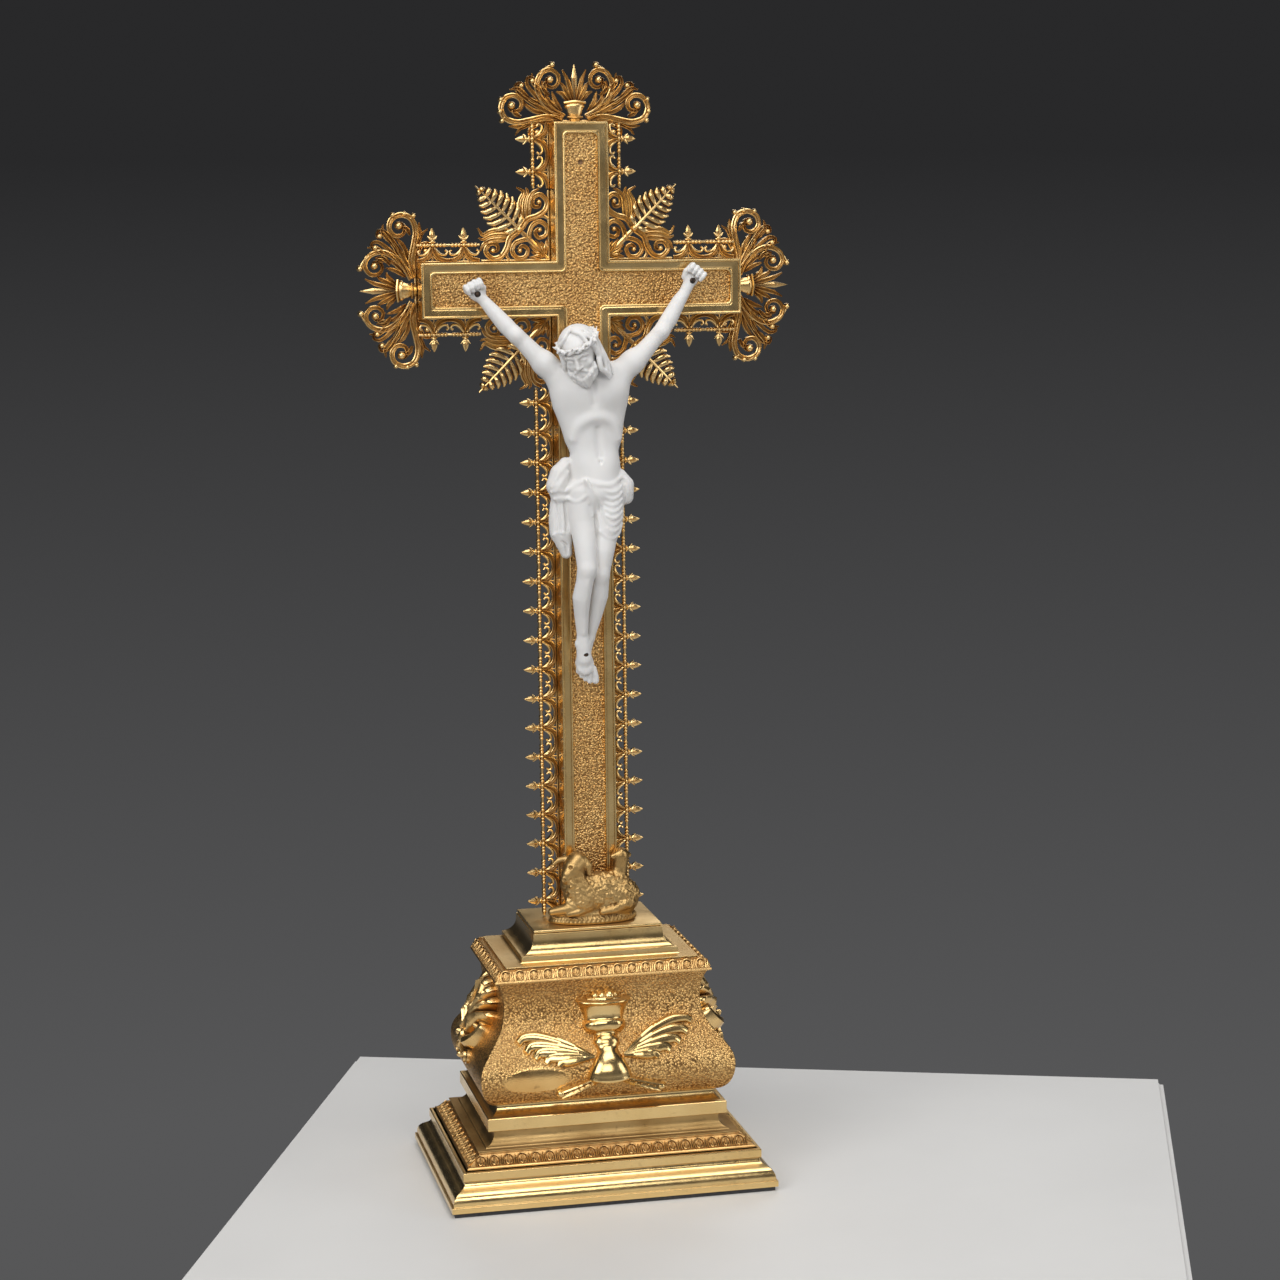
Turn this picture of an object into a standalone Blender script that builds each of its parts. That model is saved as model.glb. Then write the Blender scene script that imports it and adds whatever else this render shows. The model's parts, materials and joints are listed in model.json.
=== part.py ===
"""Altar cross in gilt brass: a moulded plinth, a swelling casket, a bordered cross with
pierced galleries, a biscuit figure held by three nails and a lying lamb at its foot.

Metres, +Z up, +X to the viewer's right, the front looks along -Y.
The origin is the middle of the underside, on the table.
"""

import math

import bmesh
import bpy
from mathutils import Matrix, Vector
from mathutils.geometry import interpolate_bezier

MM = 0.001

# Clearance between two pieces that touch, and the gauge of the brass sheet.
GAP = 0.3 * MM
SHEET = 0.8 * MM

# Baize under the base.
BAIZE_T = 1.6 * MM
BAIZE_INSET = 1.2 * MM

# Casket: plan at its foot, height, swelling below and waist above.
FOOT_W = 92.2 * MM
FOOT_D = 62.2 * MM
CASKET_H = 51.0 * MM
BULGE_OUT = 8.3 * MM
BULGE_Z = 12.5 * MM
WAIST_IN = 4.0 * MM
WAIST_Z = 40.0 * MM
TOP_IN = 1.2 * MM

# Sill: the bright square fillet that the casket stands on, and the hollow above it.
SILL_PROJ = 5.0 * MM
SILL_FASCIA = 5.5 * MM
SILL_HOLLOW = 4.2 * MM
SILL_DEPTH = 6.2 * MM

# Hollow moulding below the sill.
COVE_UNDER = 3.3 * MM
COVE_RUN_W = 8.1 * MM
COVE_RUN_D = 5.8 * MM
COVE_H = 7.2 * MM

# Leaf band round the plinth top.
LEAF_LAP = 1.3 * MM
LEAF_RUN = 6.8 * MM
LEAF_RISE = 5.3 * MM

# Plinth: ledge, set-back of its ogee, fillet at its foot and total height.
LEDGE = 1.8 * MM
RIM_LAP = 1.1 * MM
PLINTH_SET = 6.1 * MM
PLINTH_FILLET = 2.6 * MM
PLINTH_NECK = 4.9 * MM
PLINTH_H = 15.2 * MM

# Cornice leaf band on the casket and the cap above it. W is the run at the sides,
# D the shorter run at the front and back.
CORNICE_PROJ = 1.1 * MM
CORNICE_LIP = 1.0 * MM
CORNICE_H = 5.2 * MM
CORNICE_RUN_W = 7.6 * MM
CORNICE_RUN_D = 4.5 * MM
CAP_LEDGE_W = 5.9 * MM
CAP_LEDGE_D = 3.5 * MM
CAP_LEDGE_RISE = 1.4 * MM
CAP_RUN_W = 5.0 * MM
CAP_RUN_D = 3.0 * MM
CAP_H = 10.6 * MM
CAP_PLATE_T = 1.2 * MM

# Cross: bar width, thickness, reach, height above the cap and, down from its top, its arms.
BAR_W = 22.5 * MM
CROSS_T = 15.0 * MM
ARM_SPAN = 134.0 * MM
CROSS_H = 333.6 * MM
HEAD_H = 67.6 * MM
BORDER_W = 4.6 * MM
RIM_W = 0.9 * MM
BEAD_W = 0.9 * MM
PANEL_RECESS = 2.0 * MM
TENON_W = 16.0 * MM
TENON_L = 45.0 * MM
PANEL_PIN_R = 0.6 * MM
PANEL_PIN_DROP = 16.3 * MM

# Pierced brass: gauge, tongue behind the core, and the gallery's repeat.
GRILLE_T = 0.9 * MM
TONGUE = 4.0 * MM
PITCH = 12.4 * MM
ROOT_STRIP = 1.3 * MM
RAIL_V = 6.5 * MM
RAIL_W = 1.1 * MM
WIRE = 1.1 * MM
KNOT = 0.8 * MM
SPEAR_V = 14.1 * MM
SPEAR_COLLAR = 2.0 * MM
SPEAR_SWELL = 3.6 * MM
SPEAR_R = 1.5 * MM
CORNER_REACH = 30.6 * MM
CORNER_SIDE = 29.4 * MM
PALMETTE_HALF = 31.5 * MM
PALMETTE_REACH = 23.6 * MM

# Relief on the casket.
RELIEF_T = 1.6 * MM
CUP_R = 10.6 * MM
CUP_H = 36.0 * MM
CUP_BULK = 0.5
SPRAY_REACH = 31.0 * MM
STALK_W = 3.0 * MM
STALK_L = 17.0 * MM
SHELL_W = 27.0 * MM
SHELL_H = 33.0 * MM
SHELL_PROUD = 6.5 * MM

# Figure: its height from finger tips to toes, its grid of voxels, and its nails.
FIGURE_H = 174.2 * MM
NAIL_HEAD_R = 1.7 * MM
NAIL_HEAD_T = 0.9 * MM
NAIL_R = 0.7 * MM
NAIL_IN_CORE = 5.0 * MM
FIGURE_VOXEL = 0.95 * MM
FIGURE_KEEP = 0.08

# Lamb on its mound.
LAMB_HALF = 19.8 * MM
LAMB_DEPTH = 10.0 * MM
MOUND_H = 5.5 * MM
LAMB_VOXEL = 0.75 * MM
LAMB_KEEP = 0.11
LAMB_SCREW_R = 1.2 * MM
LAMB_SCREW_IN = 4.0 * MM

# Wood screws that hold the blocks and the cross together.
SCREW_R = 1.8 * MM
SCREW_HEAD_R = 3.6 * MM
SCREW_HEAD_H = 2.4 * MM
SCREW_LAND = 0.4 * MM
BLOCK_SCREW_X = 28.0 * MM
BLOCK_SCREW_L = 38.0 * MM
BOLT_IN_TENON = 12.0 * MM
BACK_PIN_R = 0.7 * MM
BACK_PIN_HEAD_R = 1.5 * MM
BACK_PIN_HEAD_T = 0.6 * MM
BACK_PIN_IN = 3.0 * MM
BACK_PIN_EDGE = 6.0 * MM

# Heights of the base, from the table up.
Z_PLINTH = BAIZE_T + GAP
Z_LEDGE = Z_PLINTH + PLINTH_H
Z_LEAF = Z_LEDGE + GAP
Z_COVE = Z_LEAF + LEAF_RISE + GAP
Z_SILL = Z_COVE + COVE_H + GAP
Z_FOOT = Z_SILL + SILL_FASCIA + SILL_HOLLOW + GAP
Z_TOP = Z_FOOT + CASKET_H
Z_CORNICE = Z_TOP + GAP
Z_CAP = Z_CORNICE + CORNICE_H + GAP
Z_PLATE = Z_CAP + CAP_LEDGE_RISE + CAP_H + GAP
Z_STAND = Z_PLATE + CAP_PLATE_T

# Half plans of the base, each built on the one above it: (side, front).
FOOT = Vector((FOOT_W / 2, FOOT_D / 2))
SILL = FOOT + Vector((SILL_PROJ, SILL_PROJ))
COVE_TOP = SILL - Vector((COVE_UNDER, COVE_UNDER))
COVE_LOW = COVE_TOP + Vector((COVE_RUN_W, COVE_RUN_D))
LEAF_IN = COVE_LOW - Vector((LEAF_LAP, LEAF_LAP))
LEAF_OUT = LEAF_IN + Vector((LEAF_RUN, LEAF_RUN))
LEDGE_OUT = LEAF_OUT + Vector((LEDGE, LEDGE))
LEDGE_IN = LEAF_OUT - Vector((RIM_LAP, RIM_LAP))
PLINTH = LEDGE_OUT + Vector((PLINTH_SET, PLINTH_SET))
BULGE = FOOT + Vector((BULGE_OUT, BULGE_OUT))
WAIST = FOOT - Vector((WAIST_IN, WAIST_IN))
TOP = FOOT - Vector((TOP_IN, TOP_IN))
CORNICE = TOP + Vector((CORNICE_PROJ, CORNICE_PROJ))
CAP = CORNICE - Vector((CORNICE_RUN_W, CORNICE_RUN_D))
CAP_FOOT = CAP - Vector((CAP_LEDGE_W, CAP_LEDGE_D))
PLATE = CAP_FOOT - Vector((CAP_RUN_W, CAP_RUN_D))

# Layers of the cross, front to back, and its heights.
Y_FRONT = -CROSS_T / 2
Y_PANEL = Y_FRONT + PANEL_RECESS
Y_CORE = Y_PANEL + SHEET + GAP
Y_BACK = CROSS_T / 2
Y_PALMETTE = Y_BACK - SHEET - GAP - GRILLE_T / 2
Y_GALLERY = Y_PALMETTE - GRILLE_T - GAP
Y_CORE_BACK = Y_GALLERY - GRILLE_T / 2 - GAP
Z_CROSS = Z_STAND + GAP
Z_HEAD = Z_STAND + CROSS_H
Z_ARM = Z_HEAD - HEAD_H
BAR = BAR_W / 2
ARM = ARM_SPAN / 2
SKIN = SHEET + GAP
Y_FIGURE = Y_FRONT - GAP

PART_NAME = "altar_cross"
FINISHES = {
    "gilt_polished": ((0.83, 0.62, 0.27), 0.22, 1.0),
    "gilt_grained": ((0.78, 0.53, 0.20), 0.45, 1.0),
    "gilt_pierced": ((0.76, 0.52, 0.22), 0.32, 1.0),
    "biscuit": ((0.86, 0.85, 0.82), 0.75, 0.0),
    "dark_iron": ((0.05, 0.045, 0.04), 0.5, 0.8),
    "core_wood": ((0.33, 0.21, 0.12), 0.7, 0.0),
    "black_baize": ((0.03, 0.03, 0.032), 0.95, 0.0),
}


def clear_scene():
    for obj in list(bpy.data.objects):
        bpy.data.objects.remove(obj, do_unlink=True)


def collection(name):
    found = bpy.data.collections.new(name)
    bpy.context.scene.collection.children.link(found)
    return found


def finish(name):
    """The material of one finish, made the first time that it is asked for."""
    if name in bpy.data.materials:
        return bpy.data.materials[name]
    colour, roughness, metallic = FINISHES[name]
    material = bpy.data.materials.new(name)
    material.use_nodes = True
    shader = material.node_tree.nodes["Principled BSDF"]
    shader.inputs["Base Color"].default_value = (*colour, 1.0)
    shader.inputs["Roughness"].default_value = roughness
    shader.inputs["Metallic"].default_value = metallic
    material.diffuse_color = (*colour, 1.0)
    return material


def place(name, data, finish_name, matrix=None):
    """A named part in the object's collection, or a wire cutter if it has no finish."""
    obj = bpy.data.objects.new(name, data)
    if finish_name:
        PARTS.objects.link(obj)
        data.materials.append(finish(finish_name))
        obj.parent = ROOT
    else:
        CUTTERS.objects.link(obj)
        obj.hide_render = True
        obj.display_type = "WIRE"
    if matrix is not None:
        obj.matrix_world = matrix
    return obj


def to_mesh(name, bm):
    bmesh.ops.recalc_face_normals(bm, faces=bm.faces)
    mesh = bpy.data.meshes.new(name)
    bm.to_mesh(mesh)
    bm.free()
    return mesh


def smooth(obj, angle=35):
    obj.data.shade_smooth()
    obj.data.set_sharp_from_angle(angle=math.radians(angle))
    return obj


def loft(name, loops, finish_name, ring=False):
    """Skins a row of loops with equal point counts. A ring joins its last loop to its
    first, and a stack closes both ends."""
    bm = bmesh.new()
    rows = [[bm.verts.new(point) for point in loop] for loop in loops]
    count = len(rows[0])
    steps = len(rows) if ring else len(rows) - 1
    for i in range(steps):
        low = rows[i]
        high = rows[(i + 1) % len(rows)]
        for j in range(count):
            k = (j + 1) % count
            bm.faces.new((low[j], low[k], high[k], high[j]))
    if not ring:
        bm.faces.new(rows[0])
        bm.faces.new(rows[-1])
    return smooth(place(name, to_mesh(name, bm), finish_name))


def cut(obj, cutter, operation="DIFFERENCE"):
    modifier = obj.modifiers.new(cutter.name, "BOOLEAN")
    modifier.operation = operation
    modifier.object = cutter
    return obj


def box(name, low, high, finish_name=None):
    size = Vector(high) - Vector(low)
    middle = (Vector(high) + Vector(low)) / 2
    bm = bmesh.new()
    bmesh.ops.create_cube(bm, size=1.0)
    bmesh.ops.scale(bm, vec=size, verts=bm.verts)
    bmesh.ops.translate(bm, vec=middle, verts=bm.verts)
    return place(name, to_mesh(name, bm), finish_name)


def rect(half, z, shift=0.0):
    """A rectangular loop in plan, drawn in by a shift."""
    w = half[0] - shift
    d = half[1] - shift
    return [Vector((-w, -d, z)), Vector((w, -d, z)), Vector((w, d, z)), Vector((-w, d, z))]


def bezier(points, count):
    """Points of one cubic curve, as (run, rise) pairs."""
    handles = [Vector((p[0], p[1], 0.0)) for p in points]
    return [Vector((p[0], p[1])) for p in interpolate_bezier(*handles, count)]


def moulding_rows(low, high, z_low, z_high, steps):
    """Rows (half plan, z) of a moulding between two half plans. Steps give how far the
    section has gone in (0 to 1) and up (0 to 1)."""
    return [(low + (high - low) * s, z_low + (z_high - z_low) * t) for s, t in steps]


def sheet_ring(name, rows, finish_name, floor):
    """A ring of sheet brass over the rows of a moulding that faces out and up."""
    outer = [rect(half, z) for half, z in rows]
    inner = [rect(half, max(z - SHEET, floor), SHEET) for half, z in rows]
    return loft(name, outer + inner[::-1], finish_name, ring=True)


def filled(name, rows, finish_name, floor, shift):
    """A block that fills a moulding from the inside."""
    loops = [rect(half, max(z - shift, floor), shift) for half, z in rows]
    return loft(name, loops, finish_name)


def turned(name, profile, finish_name, matrix, segments=12):
    """A turned solid about its own Z from a profile of (radius, z), top to bottom."""
    bm = bmesh.new()
    points = [bm.verts.new((r, 0.0, z)) for r, z in profile]
    for a, b in zip(points, points[1:]):
        bm.edges.new((a, b))
    mesh = bpy.data.meshes.new(name)
    bm.to_mesh(mesh)
    bm.free()
    obj = place(name, mesh, finish_name, matrix)
    screw = obj.modifiers.new("turn", "SCREW")
    screw.axis = "Z"
    screw.steps = segments
    screw.render_steps = segments
    screw.use_merge_vertices = True
    screw.merge_threshold = 0.00001
    screw.use_smooth_shade = False
    return obj


def flat_curve(name, outer, holes, thickness):
    """A flat pierced plate in its own XY, as a filled 2D curve."""
    curve = bpy.data.curves.new(name, "CURVE")
    curve.dimensions = "2D"
    curve.fill_mode = "BOTH"
    curve.extrude = thickness / 2
    for path in [outer, *holes]:
        spline = curve.splines.new("POLY")
        spline.points.add(len(path) - 1)
        for point, (u, v) in zip(spline.points, path):
            point.co = (u, v, 0.0, 1.0)
        spline.use_cyclic_u = True
    return curve


def edge_frame(origin, along, out):
    """Matrix of a plate that stands in the plane of the cross: local X runs along an
    edge, local Y away from it."""
    x = Vector(along)
    y = Vector(out)
    z = x.cross(y)
    turn = Matrix((x, y, z)).transposed().to_4x4()
    return Matrix.Translation(Vector(origin)) @ turn


def facing_front(x, y, z):
    """Matrix that lays a turned piece's Z along -Y, its head to the front."""
    return Matrix.Translation((x, y, z)) @ Matrix.Rotation(math.radians(90), 4, "X")


def facing_back(x, y, z):
    return Matrix.Translation((x, y, z)) @ Matrix.Rotation(math.radians(-90), 4, "X")


def circle(u, v, radius, count=10):
    return [
        (u + radius * math.cos(math.tau * i / count), v + radius * math.sin(math.tau * i / count))
        for i in range(count)
    ]


def slot(angle, near, far, width, count=8):
    """A long oval hole on a ray from the plate's own origin."""
    middle = (near + far) / 2
    points = []
    for i in range(count):
        a = math.tau * i / count
        r = middle + (far - near) / 2 * math.cos(a)
        s = width / 2 * math.sin(a)
        points.append((
            r * math.cos(angle) - s * math.sin(angle),
            r * math.sin(angle) + s * math.cos(angle),
        ))
    return points


def scalloped(lobes, core, start, end, count):
    """Outline seen from the origin round a set of discs (u, v, radius): on each ray, the
    far side of the outermost disc, and a plain disc where a ray meets none."""
    path = []
    for i in range(count + 1):
        a = start + (end - start) * i / count
        ray = Vector((math.cos(a), math.sin(a)))
        reach = core
        for u, v, radius in lobes:
            centre = Vector((u, v))
            along = centre.dot(ray)
            off = centre.length_squared - along * along
            if along > 0 and off < radius * radius:
                reach = max(reach, along + math.sqrt(radius * radius - off))
        path.append(tuple(ray * reach))
    return path


# Base: the wooden blocks and the brass mouldings over them.

def plinth_rows():
    """Fillet at the foot, ogee, neck and the ledge on top."""
    rise = PLINTH_H - PLINTH_FILLET - PLINTH_NECK
    belly = bezier([(0, 0), (0.02, 0.42), (0.30, 0.50), (0.5, 0.54)], 4)
    hollow = bezier([(0.5, 0.54), (0.75, 0.58), (0.97, 0.62), (1.0, 1.0)], 4)
    rows = [(PLINTH, Z_PLINTH)]
    for s, t in belly + hollow[1:]:
        rows.append((PLINTH + (LEDGE_OUT - PLINTH) * s, Z_PLINTH + PLINTH_FILLET + rise * t))
    rows.append((LEDGE_OUT, Z_LEDGE))
    rows.append((LEDGE_IN, Z_LEDGE))
    return rows


def cove_rows():
    steps = bezier([(0, 0.0), (0.7, 0.03), (1.0, 0.2), (1.0, 1.0)], 6)
    return moulding_rows(COVE_LOW, COVE_TOP, Z_COVE, Z_COVE + COVE_H, steps)


def sill_rows():
    z = Z_SILL + SILL_FASCIA
    steps = bezier([(0.25, 0.08), (0.8, 0.1), (1.0, 0.4), (1.0, 1.0)], 4)
    hollow = moulding_rows(SILL, FOOT, z, z + SILL_HOLLOW, steps)
    return [(SILL, Z_SILL), (SILL, z), *hollow]


def casket_rows():
    """Half plans up the swelling casket."""
    low = bezier([(0.0, 0.0), (0.62, 0.02), (1.0, 0.45), (1.0, 1.0)], 5)
    high = bezier([(0.0, 0.0), (0.0, 0.38), (1.0, 0.45), (1.0, 1.0)], 7)
    lip = bezier([(0.0, 0.0), (0.0, 0.45), (0.5, 0.8), (1.0, 1.0)], 4)
    rows = moulding_rows(FOOT, BULGE, Z_FOOT, Z_FOOT + BULGE_Z, low)
    rows += moulding_rows(BULGE, WAIST, Z_FOOT + BULGE_Z, Z_FOOT + WAIST_Z, high)[1:]
    rows += moulding_rows(WAIST, TOP, Z_FOOT + WAIST_Z, Z_TOP, lip)[1:]
    return rows


def cornice_rows():
    return [
        (CORNICE, Z_CORNICE),
        (CORNICE, Z_CORNICE + CORNICE_LIP),
        (CAP, Z_CORNICE + CORNICE_H),
    ]


def cap_rows():
    steps = bezier([(0.0, 0.0), (0.6, 0.08), (0.95, 0.35), (1.0, 1.0)], 6)
    z = Z_CAP + CAP_LEDGE_RISE
    return [(CAP, Z_CAP), *moulding_rows(CAP_FOOT, PLATE, z, z + CAP_H, steps)]


def build_base():
    baize = PLINTH - Vector((BAIZE_INSET, BAIZE_INSET))
    loft("base_baize", [rect(baize, 0.0), rect(baize, BAIZE_T)], "black_baize")

    rows = plinth_rows()
    sheet_ring("plinth_moulding", rows, "gilt_polished", Z_PLINTH)
    plinth_core = filled("plinth_core", rows, "core_wood", Z_PLINTH, SKIN)

    leaf = [(LEAF_OUT, Z_LEAF), (LEAF_OUT, Z_LEAF + SHEET), (LEAF_IN, Z_LEAF + LEAF_RISE)]
    sheet_ring("plinth_leaf_band", leaf, "gilt_grained", Z_LEAF)
    sheet_ring("plinth_cove", cove_rows(), "gilt_polished", Z_COVE)
    riser = COVE_TOP - Vector((SKIN, SKIN))
    z_riser = Z_LEDGE - SKIN + GAP
    riser_core = loft("riser_core", [rect(riser, z_riser), rect(riser, Z_SILL - GAP)], "core_wood")

    inner = SILL - Vector((SILL_DEPTH, SILL_DEPTH))
    loops = [rect(half, z) for half, z in sill_rows()]
    loops += [rect(inner, Z_FOOT - GAP), rect(inner, Z_SILL)]
    loft("sill_moulding", loops, "gilt_polished", ring=True)

    plug = inner - Vector((GAP, GAP))
    loops = [rect(plug, Z_SILL), rect(plug, Z_FOOT)]
    loops += [rect(half, z, SKIN) for half, z in casket_rows()[1:]]
    casket_core = loft("casket_core", loops, "core_wood")

    sheet_ring("cornice_leaf_band", cornice_rows(), "gilt_grained", Z_CORNICE)
    sheet_ring("cap_moulding", cap_rows(), "gilt_polished", Z_CAP)
    loops = [rect(half, max(z - SKIN, Z_CORNICE), SKIN) for half, z in cornice_rows()[1:]]
    loops += [rect(half, z - SKIN, SKIN) for half, z in cap_rows()[1:]]
    loops += [rect(PLATE - Vector((SKIN, SKIN)), Z_PLATE - GAP)]
    cap_core = loft("cap_core", loops, "core_wood")
    cap_plate = loft("cap_plate", [rect(PLATE, Z_PLATE), rect(PLATE, Z_STAND)], "gilt_polished")
    return plinth_core, riser_core, casket_core, cap_core, cap_plate


def build_casket_panels():
    """Four sheets, mitred at the corners."""
    rows = casket_rows()
    gap = GAP / math.sqrt(2)

    def panel(name, side, turn):
        loops = []
        for half, z in rows:
            w, d = half[side], half[1 - side]
            inner = w - gap - SHEET
            loop = [(gap - w, -d), (w - gap, -d), (inner, SHEET - d), (-inner, SHEET - d)]
            loops.append([Matrix.Rotation(turn, 4, "Z") @ Vector((x, y, z)) for x, y in loop])
        return loft(name, loops, "gilt_grained")

    panel("casket_front", 0, 0.0)
    panel("casket_right", 1, math.radians(90))
    panel("casket_back", 0, math.radians(180))
    panel("casket_left", 1, math.radians(-90))


def surface_at(z, side):
    """Half plan of the casket at a height, straight between its rows."""
    rows = casket_rows()
    for (low, z_low), (high, z_high) in zip(rows, rows[1:]):
        if z_low <= z <= z_high:
            return low[side] + (high[side] - low[side]) * (z - z_low) / (z_high - z_low)
    return rows[0][0][side] if z < rows[0][1] else rows[-1][0][side]


def draped(name, outline, heights, finish_name, turn):
    """A relief that lies on one face of the casket. The outline is (across, z) seen from
    the front of that face, and the rings of heights rise from its edge to its middle."""
    side = 1 if turn in (0.0, math.pi) else 0
    bm = bmesh.new()
    middle = Vector((
        sum(p[0] for p in outline) / len(outline),
        sum(p[1] for p in outline) / len(outline),
    ))
    rings = [[bm.verts.new((u, 0.0, v)) for u, v in outline]]
    for share, height in heights:
        ring = []
        for u, v in outline:
            p = middle + (Vector((u, v)) - middle) * share
            ring.append(bm.verts.new((p[0], -height, p[1])))
        rings.append(ring)
    count = len(outline)
    for low, high in zip(rings, rings[1:]):
        for j in range(count):
            k = (j + 1) % count
            bm.faces.new((low[j], low[k], high[k], high[j]))
    bm.faces.new(rings[0])
    bm.faces.new(rings[-1])
    for half, z in casket_rows():
        geometry = bm.verts[:] + bm.edges[:] + bm.faces[:]
        bmesh.ops.bisect_plane(bm, geom=geometry, dist=1e-7, plane_co=(0, 0, z), plane_no=(0, 0, 1))
    for vert in bm.verts:
        vert.co.y -= surface_at(vert.co.z, side) + GAP
    bmesh.ops.transform(bm, matrix=Matrix.Rotation(turn, 4, "Z"), verts=bm.verts)
    bmesh.ops.triangulate(bm, faces=bm.faces)
    return place(name, to_mesh(name, bm), finish_name)


def build_relief():
    """Cup, two sprays and two stalks on the front, a shell on each side."""
    z_waist = Z_FOOT + WAIST_Z
    z_foot = Z_FOOT + BULGE_Z - 2 * RELIEF_T
    shape = [
        (0.86, 0.00), (0.88, 0.05), (0.60, 0.13), (0.26, 0.24), (0.24, 0.34), (0.40, 0.38),
        (0.42, 0.44), (0.62, 0.52), (0.72, 0.62), (0.76, 0.72), (1.00, 0.84), (1.00, 0.88),
        (0.55, 0.90), (0.45, 0.99),
    ]
    levels = sorted({z_foot + CUP_H * t for _, t in shape} | {z for _, z in casket_rows()})
    levels = [z for z in levels if z_foot <= z <= z_foot + CUP_H * shape[-1][1]]

    def radius(z):
        t = (z - z_foot) / CUP_H
        for (r_low, low), (r_high, high) in zip(shape, shape[1:]):
            if low <= t <= high:
                return CUP_R * (r_low + (r_high - r_low) * (t - low) / (high - low))
        return CUP_R * shape[-1][0]

    loops = []
    for z in levels:
        y = -surface_at(z, 1) - GAP
        arc = [math.pi * i / 6 for i in range(7)]
        loop = [
            Vector((radius(z) * math.cos(a), y - CUP_BULK * radius(z) * math.sin(a), z))
            for a in arc
        ]
        loops.append(loop)
    loft("chalice_mount", loops, "gilt_polished")

    # A spray is a fan of five curved ears: tips as (out, up) shares of its reach, and a
    # notch between two tips that is drawn back to the root.
    root = Vector((CUP_R * 0.5, z_foot + CUP_H * 0.26))
    tips = [Vector(p) for p in ((1.0, 0.27), (0.92, 0.07), (0.80, -0.02), (0.64, -0.08), (0.44, -0.10))]
    crest = bezier([(0.0, 0.05), (0.35, 0.38), (0.8, 0.55), (1.0, 0.27)], 6)
    fan = crest[:-1]
    for i, tip in enumerate(tips):
        fan.append(tip)
        if i + 1 < len(tips):
            fan.append((tip + tips[i + 1]) * 0.47)
    outline = [root + p * SPRAY_REACH for p in [*fan, Vector((0.0, -0.03))]]
    for name, sign in (("wheat_right", 1), ("wheat_left", -1)):
        path = [(sign * p[0], p[1]) for p in outline]
        draped(name, path, [(1.0, RELIEF_T * 0.6), (0.85, RELIEF_T)], "gilt_polished", 0.0)

    # The stalks cross behind the cup's foot and show as two stumps under it.
    for name, sign in (("stalk_right", 1), ("stalk_left", -1)):
        start = Vector((sign * CUP_R * 0.5, z_foot - RELIEF_T))
        along = Vector((sign * math.cos(math.radians(20)), -math.sin(math.radians(20))))
        across = Vector((-along[1], along[0])) * STALK_W / 2
        end = start + along * STALK_L
        path = [start - across, end - across, end + across, start + across]
        draped(name, [tuple(p) for p in path], [(1.0, RELIEF_T)], "gilt_polished", 0.0)

    # The shells: a lobed outline that swells to the middle, with a knob on top.
    z_shell = z_waist - SHELL_H * 0.42
    outline = []
    for i in range(28):
        a = math.tau * i / 28
        lobe = 1.0 + 0.07 * math.cos(7 * a + math.pi / 2)
        outline.append((SHELL_W / 2 * lobe * math.cos(a), z_shell + SHELL_H / 2 * lobe * math.sin(a)))
    rings = [(1.0, SHELL_PROUD * 0.25), (0.8, SHELL_PROUD * 0.7), (0.45, SHELL_PROUD)]
    draped("side_mount_right", outline, rings, "gilt_pierced", math.radians(90))
    draped("side_mount_left", outline, rings, "gilt_pierced", math.radians(-90))


# The cross: a wooden core in a sheet-brass shell, with pierced brass behind it.

def cross_loop(inset, y):
    """The twelve corners of the cross, drawn in by an inset."""
    b = BAR - inset
    a = ARM - inset
    low = Z_ARM - BAR + inset
    high = Z_ARM + BAR - inset
    head = Z_HEAD - inset
    foot = Z_CROSS + inset
    right = [(b, foot), (b, low), (a, low), (a, high), (b, high), (b, head)]
    left = [(-x, z) for x, z in right[::-1]]
    return [Vector((x, y, z)) for x, z in right + left]


def build_cross():
    """The core with its tenon, and the sheet brass over its front, sides and back."""
    loops = []
    tenon = TENON_W / 2
    z_tenon = Z_STAND - TENON_L
    for y in (Y_CORE, Y_CORE_BACK):
        loop = cross_loop(SKIN, y)
        foot = [Vector((-tenon, y, Z_CROSS + SKIN)), Vector((-tenon, y, z_tenon))]
        foot += [Vector((tenon, y, z_tenon)), Vector((tenon, y, Z_CROSS + SKIN))]
        loops.append(loop + foot)
    core = loft("cross_core", loops, "core_wood")

    under = Y_PANEL - GAP
    section = [
        (0.0, Y_CORE_BACK), (0.0, Y_FRONT + RIM_W / 3), (RIM_W / 3, Y_FRONT), (RIM_W, Y_FRONT),
        (BORDER_W - 1.6 * BEAD_W, under - SHEET * 0.75), (BORDER_W - BEAD_W, under - SHEET * 0.75),
        (BORDER_W - BEAD_W / 2, under - SHEET * 1.2), (BORDER_W, under - SHEET * 0.75),
        (BORDER_W, under), (SHEET, under), (SHEET, Y_CORE_BACK),
    ]
    border = loft("cross_border", [cross_loop(s, y) for s, y in section], "gilt_polished", ring=True)
    loops = [cross_loop(SKIN, Y_PANEL), cross_loop(SKIN, Y_PANEL + SHEET)]
    panel = loft("cross_panel", loops, "gilt_grained")
    loops = [cross_loop(0.0, Y_BACK - SHEET), cross_loop(0.0, Y_BACK)]
    back = loft("cross_back", loops, "gilt_grained")
    return core, border, panel, back


def tenon_cutter():
    half = TENON_W / 2 + GAP
    low = (-half, Y_CORE - GAP, Z_STAND - TENON_L - GAP)
    high = (half, Y_CORE_BACK + GAP, Z_CROSS + 2 * SKIN)
    return box("tenon_mortise", low, high)


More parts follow.
